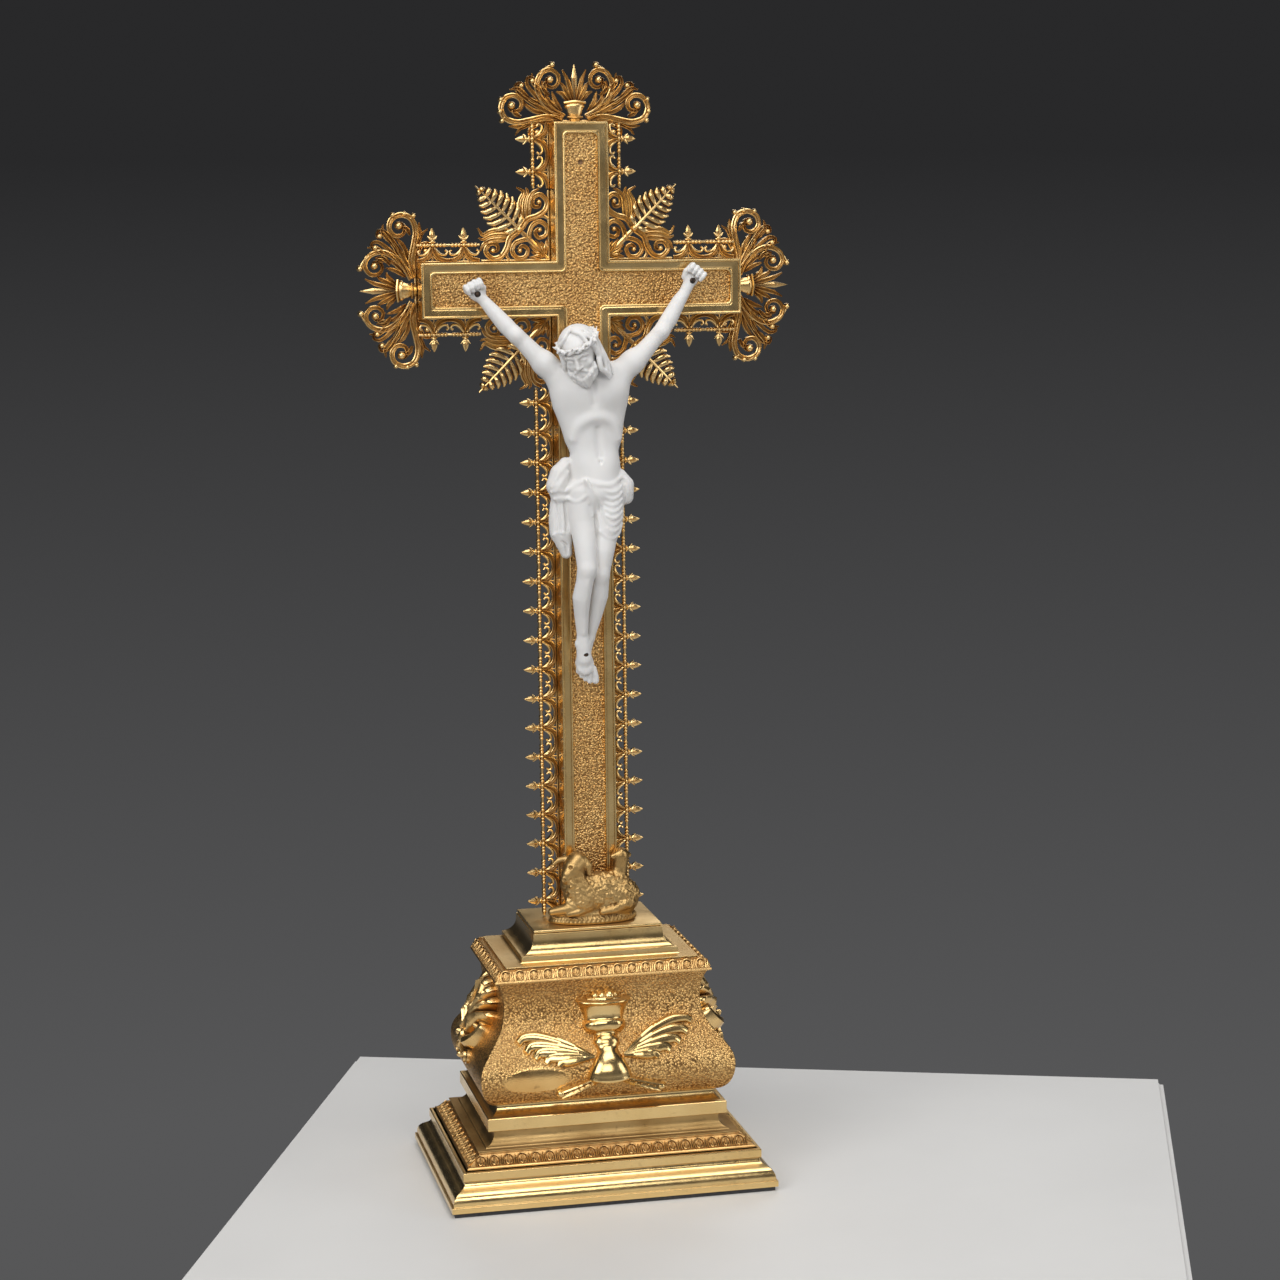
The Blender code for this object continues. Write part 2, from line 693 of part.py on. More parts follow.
def gallery_paths(length):
    """Outline and holes of one gallery: a root strip, drooping arcs between spears, a
    straight rail and a spear on each knot."""
    count = max(1, round(length / PITCH))
    pitch = length / count
    rail_out = RAIL_V + RAIL_W
    outer = [(0.0, -TONGUE), (length, -TONGUE), (length, rail_out)]
    holes = []
    a = pitch / 2 - KNOT
    deep = RAIL_V - ROOT_STRIP
    b = deep - WIRE / 2
    big_a = a + WIRE
    big_b = b + WIRE
    t_top = math.acos(min(1.0, pitch / 2 / big_a))
    t_root = math.asin(min(1.0, deep / big_b))
    collar = rail_out + SPEAR_COLLAR
    swell = rail_out + SPEAR_SWELL
    for i in reversed(range(count)):
        c = (i + 0.5) * pitch
        outer += [(c + KNOT, rail_out), (c + KNOT, collar), (c + SPEAR_R, swell), (c, SPEAR_V)]
        outer += [(c - SPEAR_R, swell), (c - KNOT, collar), (c - KNOT, rail_out)]
    outer.append((0.0, rail_out))
    for i in range(count):
        c = (i + 0.5) * pitch
        side = []
        for j in range(3):
            t = t_top + (t_root - t_top) * j / 2
            side.append((pitch / 2 - big_a * math.cos(t), RAIL_V - big_b * math.sin(t)))
        left = [(c - u, v) for u, v in side]
        right = [(c + u, v) for u, v in side[:0:-1]]
        holes.append(left + right)
    arc = [math.pi * j / 6 for j in range(7)]
    for i in range(count - 1):
        c = (i + 1) * pitch
        holes.append([(c + a * math.cos(t), RAIL_V - b * math.sin(t)) for t in arc])
    last = math.acos(min(1.0, WIRE / a))
    half = [last * j / 3 for j in range(4)]
    half = [(a * math.cos(t), RAIL_V - b * math.sin(t)) for t in half]
    half.append((WIRE, RAIL_V))
    holes.append(half)
    holes.append([(length - u, v) for u, v in half])
    return outer, holes


def palmette_paths():
    """A fan of scrolls with a spear in the middle, on a tongue behind the arm's end."""
    half = PALMETTE_HALF
    reach = PALMETTE_REACH
    lobes = [
        (0.0, reach * 0.72, reach * 0.2), (0.0, reach * 0.9, reach * 0.1),
        (half * 0.34, reach * 0.66, reach * 0.31), (half * 0.60, reach * 0.60, reach * 0.17),
        (half * 0.75, reach * 0.47, reach * 0.15), (half * 0.82, reach * 0.22, half * 0.18),
    ]
    lobes += [(-u, v, r) for u, v, r in lobes[2:]]
    drop = math.radians(8)
    path = scalloped(lobes, BAR * 0.95, -drop, math.pi + drop, 56)
    edge = BAR - SKIN
    outer = [(-edge, -TONGUE), (edge, -TONGUE), *path]
    holes = []
    for sign in (1, -1):
        holes.append(circle(sign * half * 0.34, reach * 0.68, reach * 0.15))
        holes.append(circle(sign * half * 0.82, reach * 0.22, half * 0.09))
        for degrees, near, far in ((78, 0.42, 0.66), (36, 0.55, 0.80), (20, 0.50, 0.82)):
            angle = math.radians(degrees if sign > 0 else 180 - degrees)
            holes.append(slot(angle, reach * near, reach * far, reach * 0.07))
    return outer, holes


def corner_paths():
    """A leaf on the diagonal between two curled leaves, in an inner corner of the cross."""
    reach = CORNER_REACH
    side = CORNER_SIDE
    lobes = [
        (side * 0.74, side * 0.25, side * 0.25), (side * 0.25, side * 0.74, side * 0.25),
        (side * 0.80, side * 0.40, side * 0.12), (side * 0.40, side * 0.80, side * 0.12),
    ]
    for share, width in ((0.60, 0.17), (0.72, 0.15), (0.82, 0.11), (0.90, 0.07), (0.96, 0.04)):
        lobes.append((reach * share, reach * share, reach * width))
    path = scalloped(lobes, side * 0.55, 0.0, math.pi / 2, 44)
    outer = [(-TONGUE, -TONGUE), (path[0][0], -TONGUE), *path, (-TONGUE, path[-1][1])]
    holes = [
        circle(side * 0.76, side * 0.27, side * 0.11),
        circle(side * 0.27, side * 0.76, side * 0.11),
        circle(side * 0.30, side * 0.30, side * 0.10),
        slot(math.radians(45), side * 0.60, side * 0.84, side * 0.07),
        slot(math.radians(20), side * 0.22, side * 0.48, side * 0.08),
        slot(math.radians(70), side * 0.22, side * 0.48, side * 0.08),
    ]
    return outer, holes


def build_grilles():
    """Galleries along every edge, a leaf in each inner corner, a palmette on each end."""
    start = CORNER_SIDE + GAP
    up, down, left, right = (0, 0, 1), (0, 0, -1), (-1, 0, 0), (1, 0, 0)
    z_high = Z_ARM + BAR
    z_low = Z_ARM - BAR

    shaft = z_low - start - Z_CROSS - GAP
    outer, holes = gallery_paths(shaft)
    curve = flat_curve("gallery_shaft", outer, holes, GRILLE_T)
    low = Z_CROSS + GAP
    place("gallery_shaft_left", curve, "gilt_pierced", edge_frame((-BAR, Y_GALLERY, low), up, left))
    place("gallery_shaft_right", curve.copy(), "gilt_pierced", edge_frame((BAR, Y_GALLERY, low), up, right))

    outer, holes = gallery_paths(ARM - BAR - start)
    curve = flat_curve("gallery_arm", outer, holes, GRILLE_T)
    arms = (
        ("gallery_arm_left_top", (-BAR - start, z_high), left, up),
        ("gallery_arm_left_low", (-BAR - start, z_low), left, down),
        ("gallery_arm_right_top", (BAR + start, z_high), right, up),
        ("gallery_arm_right_low", (BAR + start, z_low), right, down),
    )
    for name, (x, z), along, out in arms:
        place(name, curve.copy(), "gilt_pierced", edge_frame((x, Y_GALLERY, z), along, out))

    outer, holes = gallery_paths(Z_HEAD - z_high - start)
    curve = flat_curve("gallery_head", outer, holes, GRILLE_T)
    z = z_high + start
    place("gallery_head_left", curve, "gilt_pierced", edge_frame((-BAR, Y_GALLERY, z), up, left))
    place("gallery_head_right", curve.copy(), "gilt_pierced", edge_frame((BAR, Y_GALLERY, z), up, right))

    outer, holes = corner_paths()
    curve = flat_curve("corner_leaf", outer, holes, GRILLE_T)
    corners = (
        ("corner_leaf_top_left", -BAR, z_high, left, up),
        ("corner_leaf_top_right", BAR, z_high, right, up),
        ("corner_leaf_low_left", -BAR, z_low, left, down),
        ("corner_leaf_low_right", BAR, z_low, right, down),
    )
    for name, x, z, along, out in corners:
        place(name, curve.copy(), "gilt_pierced", edge_frame((x, Y_GALLERY, z), along, out))

    outer, holes = palmette_paths()
    curve = flat_curve("palmette", outer, holes, GRILLE_T)
    ends = (
        ("palmette_top", 0.0, Z_HEAD, right, up),
        ("palmette_left", -ARM, Z_ARM, up, left),
        ("palmette_right", ARM, Z_ARM, up, right),
    )
    for name, x, z, along, out in ends:
        place(name, curve.copy(), "gilt_pierced", edge_frame((x, Y_PALMETTE, z), along, out))


# Soft forms: balls and tapering limbs, fused and thinned.

def add_ball(bm, centre, radii, tilt=0.0):
    """A ball stretched along X, Y and Z, then tilted about Y."""
    matrix = Matrix.Translation(centre) @ Matrix.Rotation(math.radians(tilt), 4, "Y")
    matrix = matrix @ Matrix.Diagonal((*radii, 1.0))
    bmesh.ops.create_uvsphere(bm, u_segments=16, v_segments=10, radius=1.0, matrix=matrix)


def add_limb(bm, points):
    """Balls at the joints of a limb and cones between them. Points are (centre, radius)."""
    for centre, radius in points:
        add_ball(bm, centre, (radius, radius, radius))
    for (a, r_a), (b, r_b) in zip(points, points[1:]):
        run = b - a
        turn = run.to_track_quat("Z", "Y").to_matrix().to_4x4()
        matrix = Matrix.Translation((a + b) / 2) @ turn
        bmesh.ops.create_cone(
            bm, cap_ends=True, segments=14, radius1=r_a, radius2=r_b, depth=run.length, matrix=matrix
        )


def fused(name, bm, finish_name, voxel, keep):
    mesh = bpy.data.meshes.new(name)
    bm.to_mesh(mesh)
    bm.free()
    obj = place(name, mesh, finish_name)
    remesh = obj.modifiers.new("fuse", "REMESH")
    remesh.mode = "VOXEL"
    remesh.voxel_size = voxel
    relax = obj.modifiers.new("relax", "SMOOTH")
    relax.iterations = 5
    thin = obj.modifiers.new("thin", "DECIMATE")
    thin.ratio = keep
    return obj


# The figure's and the lamb's points are in parts of their own size, drawn at one
# millimetre to the part.
FIGURE_PART = FIGURE_H / 174.2
LAMB_PART = LAMB_HALF / 19.8


def on_cross(x, y, z):
    """A point of the figure: from the middle of the arms, and forward from the border's face."""
    return Vector((0, Y_FRONT, Z_ARM)) + FIGURE_PART * Vector((x, -y, z))


HAND_LEFT = (-45.0, 3.2, -1.4)
HAND_RIGHT = (44.8, 3.2, 2.7)
FEET = (-3.4, 8.2, -150.3)
NAIL_STAND = 2.2


def build_figure():
    """The figure: bowed head, raised arms, knotted loincloth, feet crossed on one nail."""
    bm = bmesh.new()

    def limb(*points):
        add_limb(bm, [(on_cross(x, y, z), r * FIGURE_PART) for x, y, z, r in points])

    def ball(x, y, z, a, b, c, tilt=0):
        add_ball(bm, on_cross(x, y, z), FIGURE_PART * Vector((a, b, c)), tilt)

    limb((-17, 8, -31, 5.4), (-31.9, 6.5, -17.2, 3.6), (-41.8, 3.6, -5.4, 2.5), (*HAND_LEFT, 2.9))
    limb((*HAND_LEFT, 2.9), (-46.4, 3.4, 5.4, 1.5))
    limb((15, 8, -32, 5.4), (30.4, 6.5, -16.3, 3.6), (41.8, 3.6, -2.4, 2.5), (*HAND_RIGHT, 2.9))
    limb((*HAND_RIGHT, 2.9), (45.6, 3.4, 8.4, 1.5))
    limb((-14, 8.5, -35, 6.0), (-1, 9, -36, 6.5), (13, 8.5, -36, 6.0))
    ball(-0.4, 9.5, -43, 13.4, 9.0, 12)
    ball(-0.2, 9.5, -51, 12.4, 8.6, 12)
    ball(0.4, 9.5, -59, 11.2, 8.0, 12)
    ball(0.9, 9.5, -67, 10.8, 7.8, 12)
    ball(0.9, 9.5, -75, 11.4, 8.2, 11)
    ball(0.8, 9.5, -83, 12.4, 8.8, 11)
    limb((0, 10, -35, 4.6), (-4, 14, -28, 4.8))
    ball(-6.2, 17, -26, 7.4, 8.4, 11, -12)
    ball(-6.2, 15, -23.5, 8.6, 8.6, 7.6, -12)
    ball(-6.3, 19.5, -34, 4.2, 4.2, 5.5, -12)
    limb((-12.5, 14, -28, 3.0), (-13, 12, -38, 2.4))
    limb((0.8, 13, -28, 3.0), (2.5, 11.5, -38, 2.4))

    ball(1.0, 9.5, -84, 14.2, 10.4, 10.5)
    limb((-13.2, 8, -77, 4.2), (-12.5, 7, -95, 3.4), (-10.3, 5.5, -109, 2.0))
    limb((13.5, 8, -82, 4.4), (11.5, 8, -97, 3.6))

    limb((-5, 9.5, -88, 8.0), (-4.5, 17, -117, 5.5), (-4.2, 12.5, -130, 5.0), (-3.3, 8, -146, 3.2))
    limb((-3.4, 6.5, -148, 3.4), (-2.6, 8.5, -155, 3.1), (-1.5, 9.5, -162, 2.3))
    limb((6.5, 8.5, -88, 8.0), (4.4, 14, -116, 5.4), (4.2, 8.5, -131, 4.8), (0.8, 4.8, -145.5, 3.1))
    limb((0.8, 4.5, -146, 3.2), (1.4, 4.5, -159, 2.6))

    figure = fused("corpus", bm, "biscuit", FIGURE_VOXEL, FIGURE_KEEP)
    behind = (-ARM, Y_FIGURE, Z_CROSS)
    cut(figure, box("figure_back", behind, (ARM, Y_BACK, Z_HEAD)))
    return figure


def build_nails(figure, panel, core):
    """Three dark nails through the figure and the panel into the core."""
    for name, point in (("hand_nail_left", HAND_LEFT), ("hand_nail_right", HAND_RIGHT), ("foot_nail", FEET)):
        seat = on_cross(*point) - Vector((0, NAIL_STAND * FIGURE_PART, 0))
        length = Y_CORE + NAIL_IN_CORE - seat.y
        head = [
            (0.0, NAIL_HEAD_T), (NAIL_HEAD_R * 0.7, NAIL_HEAD_T * 0.75), (NAIL_HEAD_R, 0.0),
            (NAIL_R, 0.0), (NAIL_R, -length + NAIL_R), (0.0, -length),
        ]
        matrix = facing_front(seat.x, seat.y, seat.z)
        turned(name, head, "dark_iron", matrix)
        wide = NAIL_HEAD_R + GAP
        slim = NAIL_R + GAP
        room = [
            (0.0, CROSS_T), (wide, CROSS_T), (wide, -GAP), (slim, -GAP),
            (slim, -length - GAP), (0.0, -length - GAP),
        ]
        cutter = turned(name + "_room", room, None, matrix)
        cut(figure, cutter)
        cut(panel, cutter)
        cut(core, cutter)


def build_lamb(cap_plate, cap_core):
    """A lamb that lies on a half-round mound at the foot of the cross."""
    bm = bmesh.new()
    z = Z_STAND + GAP

    def at(x, y, up):
        return Vector((0, Y_FIGURE, z)) + LAMB_PART * Vector((x, -y, up))

    def limb(*points):
        add_limb(bm, [(at(x, y, up), r * LAMB_PART) for x, y, up, r in points])

    rows = [
        Matrix.Translation((0, Y_FIGURE, z + MOUND_H * t))
        @ Matrix.Diagonal((LAMB_HALF * s, LAMB_DEPTH * s, 1.0, 1.0))
        for s, t in ((1.0, -0.2), (1.0, 0.35), (0.93, 0.55), (0.96, 0.8), (0.86, 1.0))
    ]
    rings = []
    for matrix in rows:
        rings.append([bm.verts.new(matrix @ Vector((u, v, 0.0))) for u, v in circle(0.0, 0.0, 1.0, 28)])
    for low, high in zip(rings, rings[1:]):
        for j in range(28):
            k = (j + 1) % 28
            bm.faces.new((low[j], low[k], high[k], high[j]))
    bm.faces.new(rings[0][::-1])
    bm.faces.new(rings[-1])

    add_ball(bm, at(2.5, 4.5, 13.0), LAMB_PART * Vector((14.0, 6.0, 8.8)), 4)
    add_ball(bm, at(11.5, 4.0, 12.0), LAMB_PART * Vector((7.0, 5.5, 8.5)))
    limb((-4, 4.5, 15, 6.2), (-8.5, 5.5, 22.5, 5.0), (-10.5, 6.5, 26.5, 4.5), (-14.2, 8.0, 24.5, 2.5))
    limb((-7.5, 4.0, 29.0, 1.8), (-4.0, 4.0, 27.0, 1.2))
    limb((10.0, 3.0, 18, 3.6), (12.0, 3.0, 28, 3.4))
    limb((-6, 7, 9, 3.0), (-12, 8, 7.5, 2.2), (-7, 8.5, 6.2, 1.8))
    limb((12, 7, 9, 3.2), (6, 8.4, 6.8, 1.8))

    lamb = fused("lamb", bm, "gilt_pierced", LAMB_VOXEL, LAMB_KEEP)
    low = (-2 * LAMB_HALF, Y_FIGURE - 2 * LAMB_DEPTH, z - MOUND_H)
    cut(lamb, box("lamb_underside", low, (2 * LAMB_HALF, Y_FIGURE + 2 * LAMB_DEPTH, z)))
    low = (-2 * LAMB_HALF, Y_FIGURE, Z_CROSS - MOUND_H)
    cut(lamb, box("lamb_back", low, (2 * LAMB_HALF, Y_FIGURE + 2 * LAMB_DEPTH, Z_ARM)))

    # A screw from inside the cap holds the lamb down.
    y = Y_FIGURE - LAMB_DEPTH / 2
    z_top = z + LAMB_SCREW_IN
    z_head = Z_PLATE - GAP
    profile = [
        (0.0, z_top), (LAMB_SCREW_R, z_top), (LAMB_SCREW_R, z_head), (SCREW_HEAD_R * 0.7, z_head),
        (SCREW_HEAD_R * 0.7, z_head - SCREW_HEAD_H), (0.0, z_head - SCREW_HEAD_H),
    ]
    matrix = Matrix.Translation((0, y, 0))
    turned("lamb_screw", profile, "dark_iron", matrix)
    r = LAMB_SCREW_R + GAP
    wide = SCREW_HEAD_R * 0.7 + GAP
    shaft = [(0.0, z_top + GAP), (r, z_top + GAP), (r, z_head), (0.0, z_head)]
    pocket = [
        (0.0, z_head + SHEET), (wide, z_head + SHEET),
        (wide, z_head - SCREW_HEAD_H - GAP), (0.0, z_head - SCREW_HEAD_H - GAP),
    ]
    shaft_cutter = turned("lamb_screw_shaft_room", shaft, None, matrix)
    pocket_cutter = turned("lamb_screw_head_room", pocket, None, matrix)
    cut(lamb, shaft_cutter)
    cut(cap_plate, shaft_cutter)
    cut(cap_core, pocket_cutter)


def wood_screw(name, x, z_end, blocks):
    """A countersunk screw from the underside of the plinth, with its hole in each block."""
    z = Z_PLINTH + GAP
    tip = 2 * SCREW_R

    def profile(extra, low):
        r = SCREW_R + extra
        head = SCREW_HEAD_R + extra
        return [
            (0.0, z_end + extra), (r, z_end - tip + extra), (r, z + SCREW_HEAD_H + extra),
            (head, z + SCREW_LAND + extra), (head, low), (0.0, low),
        ]

    matrix = Matrix.Translation((x, 0.0, 0.0))
    turned(name, profile(0.0, z), "dark_iron", matrix)
    cutter = turned(name + "_room", profile(GAP, Z_PLINTH - GAP), None, matrix)
    for block in blocks:
        cut(block, cutter)


def build_back_pins(back, core):
    """Short pins near the ends of the arms hold the back plate on the core."""
    edge = BACK_PIN_EDGE
    spots = (
        ("back_pin_top", 0.0, Z_HEAD - BAR - edge),
        ("back_pin_left", -ARM + BAR + edge, Z_ARM),
        ("back_pin_right", ARM - BAR - edge, Z_ARM),
        ("back_pin_foot", 0.0, Z_CROSS + BAR + edge),
    )
    length = Y_BACK + GAP - Y_CORE_BACK + BACK_PIN_IN
    for name, x, z in spots:
        matrix = facing_back(x, Y_BACK + GAP, z)
        shape = [
            (0.0, BACK_PIN_HEAD_T), (BACK_PIN_HEAD_R, BACK_PIN_HEAD_T * 0.4), (BACK_PIN_HEAD_R, 0.0),
            (BACK_PIN_R, 0.0), (BACK_PIN_R, -length), (0.0, -length),
        ]
        turned(name, shape, "gilt_polished", matrix)
        r = BACK_PIN_R + GAP
        room = [(0.0, SHEET), (r, SHEET), (r, -length - GAP), (0.0, -length - GAP)]
        cutter = turned(name + "_room", room, None, matrix)
        cut(back, cutter)
        cut(core, cutter)


def build():
    plinth_core, riser_core, casket_core, cap_core, cap_plate = build_base()
    build_casket_panels()
    build_relief()
    core, border, panel, back = build_cross()
    build_grilles()
    figure = build_figure()
    build_nails(figure, panel, core)
    build_lamb(cap_plate, cap_core)

    mortise = tenon_cutter()
    for piece in (border, cap_plate, cap_core, casket_core):
        cut(piece, mortise)
    z_bolt = Z_STAND - TENON_L + BOLT_IN_TENON
    wood_screw("cross_bolt", 0.0, z_bolt, (plinth_core, riser_core, casket_core, core))
    z_screw = Z_PLINTH + BLOCK_SCREW_L
    for name, x in (("block_screw_left", -BLOCK_SCREW_X), ("block_screw_right", BLOCK_SCREW_X)):
        wood_screw(name, x, z_screw, (plinth_core, riser_core, casket_core))
    build_back_pins(back, core)

    # The empty pin hole near the head of the panel.
    z = Z_HEAD - PANEL_PIN_DROP
    hole = [(0.0, SHEET), (PANEL_PIN_R, SHEET), (PANEL_PIN_R, -CROSS_T / 4), (0.0, -CROSS_T / 4)]
    cut(panel, turned("panel_pin_hole", hole, None, facing_front(0.0, Y_PANEL, z)))


clear_scene()
PARTS = collection(PART_NAME)
CUTTERS = collection("cutters")
ROOT = bpy.data.objects.new(PART_NAME + "_root", None)
PARTS.objects.link(ROOT)
build()
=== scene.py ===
# %% [markdown]
# # Dressing an altar cross
# The packed CAD model gives every piece its place and size. This lesson replaces the plain
# solids that show with finely modelled ones, gives each a procedural finish, and sets up
# a camera and soft studio light. Lengths are in millimetres until a mesh is made.

# %% Load the frame
import json
import math

import bmesh
import bpy
import numpy as np
from mathutils import Matrix, Vector


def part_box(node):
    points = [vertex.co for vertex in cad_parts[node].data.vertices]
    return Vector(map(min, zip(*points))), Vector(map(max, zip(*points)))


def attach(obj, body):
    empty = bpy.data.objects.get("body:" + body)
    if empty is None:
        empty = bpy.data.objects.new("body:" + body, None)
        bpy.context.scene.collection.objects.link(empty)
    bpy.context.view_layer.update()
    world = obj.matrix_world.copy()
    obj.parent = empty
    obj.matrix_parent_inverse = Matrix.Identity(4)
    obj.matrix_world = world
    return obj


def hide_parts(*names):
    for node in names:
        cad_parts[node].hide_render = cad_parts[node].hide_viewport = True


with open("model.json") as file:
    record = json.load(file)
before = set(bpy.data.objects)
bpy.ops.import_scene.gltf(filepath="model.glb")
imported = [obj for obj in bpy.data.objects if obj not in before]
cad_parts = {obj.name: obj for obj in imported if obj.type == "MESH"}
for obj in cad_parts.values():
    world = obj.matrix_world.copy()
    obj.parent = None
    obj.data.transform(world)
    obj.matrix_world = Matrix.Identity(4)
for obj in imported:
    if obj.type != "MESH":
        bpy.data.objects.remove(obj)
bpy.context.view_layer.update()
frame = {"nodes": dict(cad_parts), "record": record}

MM = 0.001
print("CAD nodes:", len(frame["nodes"]))


def span(node):
    """Lowest and highest corner of a CAD node, in millimetres."""
    low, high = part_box(node)
    return np.array(low) / MM, np.array(high) / MM


# %% [markdown]
# ## Camera
# The photograph was taken from a little left of the front and from above, through a long lens.
# The camera is placed by a turn, a tilt and a distance from a point on the cross. It could be
# aimed with a Track To constraint, but building its matrix keeps the slight roll of the picture.

# %% Place the camera
CAMERA_TURN = -0.223
CAMERA_TILT = 0.146
CAMERA_ROLL = -0.011
CAMERA_AWAY = 1223.18
CAMERA_AIM = Vector((23.904, 0.0, 228.734))
PICTURE = 1280
FOCAL_PIXELS = 2893.9
SENSOR = 36.0


def add_camera():
    back = Vector((math.sin(CAMERA_TURN) * math.cos(CAMERA_TILT),
                   -math.cos(CAMERA_TURN) * math.cos(CAMERA_TILT), math.sin(CAMERA_TILT)))
    right = (-back).cross(Vector((0, 0, 1))).normalized()
    up = right.cross(-back)
    turn = Matrix((right, up, back)).transposed().to_4x4()
    data = bpy.data.cameras.new("camera")
    data.sensor_width = SENSOR
    data.lens = FOCAL_PIXELS / PICTURE * SENSOR
    data.clip_start = 0.05
    camera = bpy.data.objects.new("camera", data)
    bpy.context.scene.collection.objects.link(camera)
    place = Matrix.Translation((CAMERA_AIM + back * CAMERA_AWAY) * MM)
    camera.matrix_world = place @ turn @ Matrix.Rotation(CAMERA_ROLL, 4, "Z")
    bpy.context.scene.camera = camera
    return camera


camera = add_camera()
print("Lens in mm:", round(camera.data.lens, 2))

# %% [markdown]
# ## Light
# Polished brass shows its surroundings, so the light is as much a part of its colour as the
# material. Large soft boxes give long clean highlights on the mouldings, and a dark grey room
# gives the olive bands between them. The room lights the matt pieces evenly, but the camera and
# the reflections see it as grey that darkens upward, which the Light Path node tells apart. The
# half of the room in front of the cross is paler, as a lit studio floor is.

# %% Set up the room and the lamps
ROOM_LIGHT = (0.15, 0.15, 0.154)
ROOM_DARK = (0.022, 0.022, 0.023)
ROOM_PALE = (0.095, 0.095, 0.097)
ROOM_FRONT = 5.0


def add_room():
    world = bpy.data.worlds.new("room")
    world.use_nodes = True
    bpy.context.scene.world = world
    tree = world.node_tree
    tree.nodes.clear()
    path = tree.nodes.new("ShaderNodeLightPath")
    seen = tree.nodes.new("ShaderNodeMath")
    seen.operation = "MAXIMUM"
    tree.links.new(path.outputs["Is Camera Ray"], seen.inputs[0])
    tree.links.new(path.outputs["Is Glossy Ray"], seen.inputs[1])
    also = tree.nodes.new("ShaderNodeMath")
    also.operation = "MAXIMUM"
    tree.links.new(seen.outputs[0], also.inputs[0])
    tree.links.new(path.outputs["Is Transmission Ray"], also.inputs[1])
    way = tree.nodes.new("ShaderNodeTexCoord")
    parts = tree.nodes.new("ShaderNodeSeparateXYZ")
    tree.links.new(way.outputs["Generated"], parts.inputs[0])
    fade = tree.nodes.new("ShaderNodeMapRange")
    fade.inputs["From Min"].default_value = 0.02
    fade.inputs["From Max"].default_value = -0.30
    tree.links.new(parts.outputs["Z"], fade.inputs["Value"])
    tone = tree.nodes.new("ShaderNodeMix")
    tone.data_type = "RGBA"
    tone.inputs[6].default_value = (*ROOM_DARK, 1.0)
    tone.inputs[7].default_value = (*ROOM_PALE, 1.0)
    tree.links.new(fade.outputs[0], tone.inputs[0])
    light = tree.nodes.new("ShaderNodeBackground")
    light.inputs["Color"].default_value = (*ROOM_LIGHT, 1.0)
    grey = tree.nodes.new("ShaderNodeBackground")
    tree.links.new(tone.outputs[2], grey.inputs["Color"])
    nearer = tree.nodes.new("ShaderNodeMapRange")
    nearer.inputs["From Min"].default_value = 0.2
    nearer.inputs["From Max"].default_value = -0.5
    nearer.inputs["To Min"].default_value = 1.0
    nearer.inputs["To Max"].default_value = ROOM_FRONT
    tree.links.new(parts.outputs["Y"], nearer.inputs["Value"])
    tree.links.new(nearer.outputs[0], grey.inputs["Strength"])
    choose = tree.nodes.new("ShaderNodeMixShader")
    tree.links.new(also.outputs[0], choose.inputs["Fac"])
    tree.links.new(light.outputs[0], choose.inputs[1])
    tree.links.new(grey.outputs[0], choose.inputs[2])
    out = tree.nodes.new("ShaderNodeOutputWorld")
    tree.links.new(choose.outputs[0], out.inputs["Surface"])


def add_soft_box(name, place, size, watts):
    data = bpy.data.lights.new(name, "AREA")
    data.shape = "RECTANGLE"
    data.size, data.size_y = size
    data.energy = watts
    lamp = bpy.data.objects.new(name, data)
    bpy.context.scene.collection.objects.link(lamp)
    lamp.location = place
    aim = Vector((0, 0, 0.2)) - Vector(place)
    lamp.rotation_euler = aim.to_track_quat("-Z", "Y").to_euler()
    return lamp


add_room()
add_soft_box("key_left", (-1.25, -0.95, 1.0), (0.9, 1.2), 13.0)
add_soft_box("front", (-0.25, -1.9, 1.25), (1.4, 0.8), 13.0)
add_soft_box("top", (0.1, -0.5, 1.7), (1.3, 0.8), 10.0)
add_soft_box("fill_right", (1.4, -0.8, 0.6), (0.6, 1.1), 4.5)
add_soft_box("rim_back", (0.5, 1.4, 1.1), (1.0, 0.7), 5.0)
scene = bpy.context.scene
scene.view_settings.view_transform = "Standard"

# %% [markdown]
# ## Finishes
# Each finish is a small node tree. All of them read the object's own coordinates, which are in
# metres here, so a noise scale of 100 gives spots of about ten millimetres on every piece alike.
# A short class keeps the joining of nodes readable: every method adds one node and returns it.

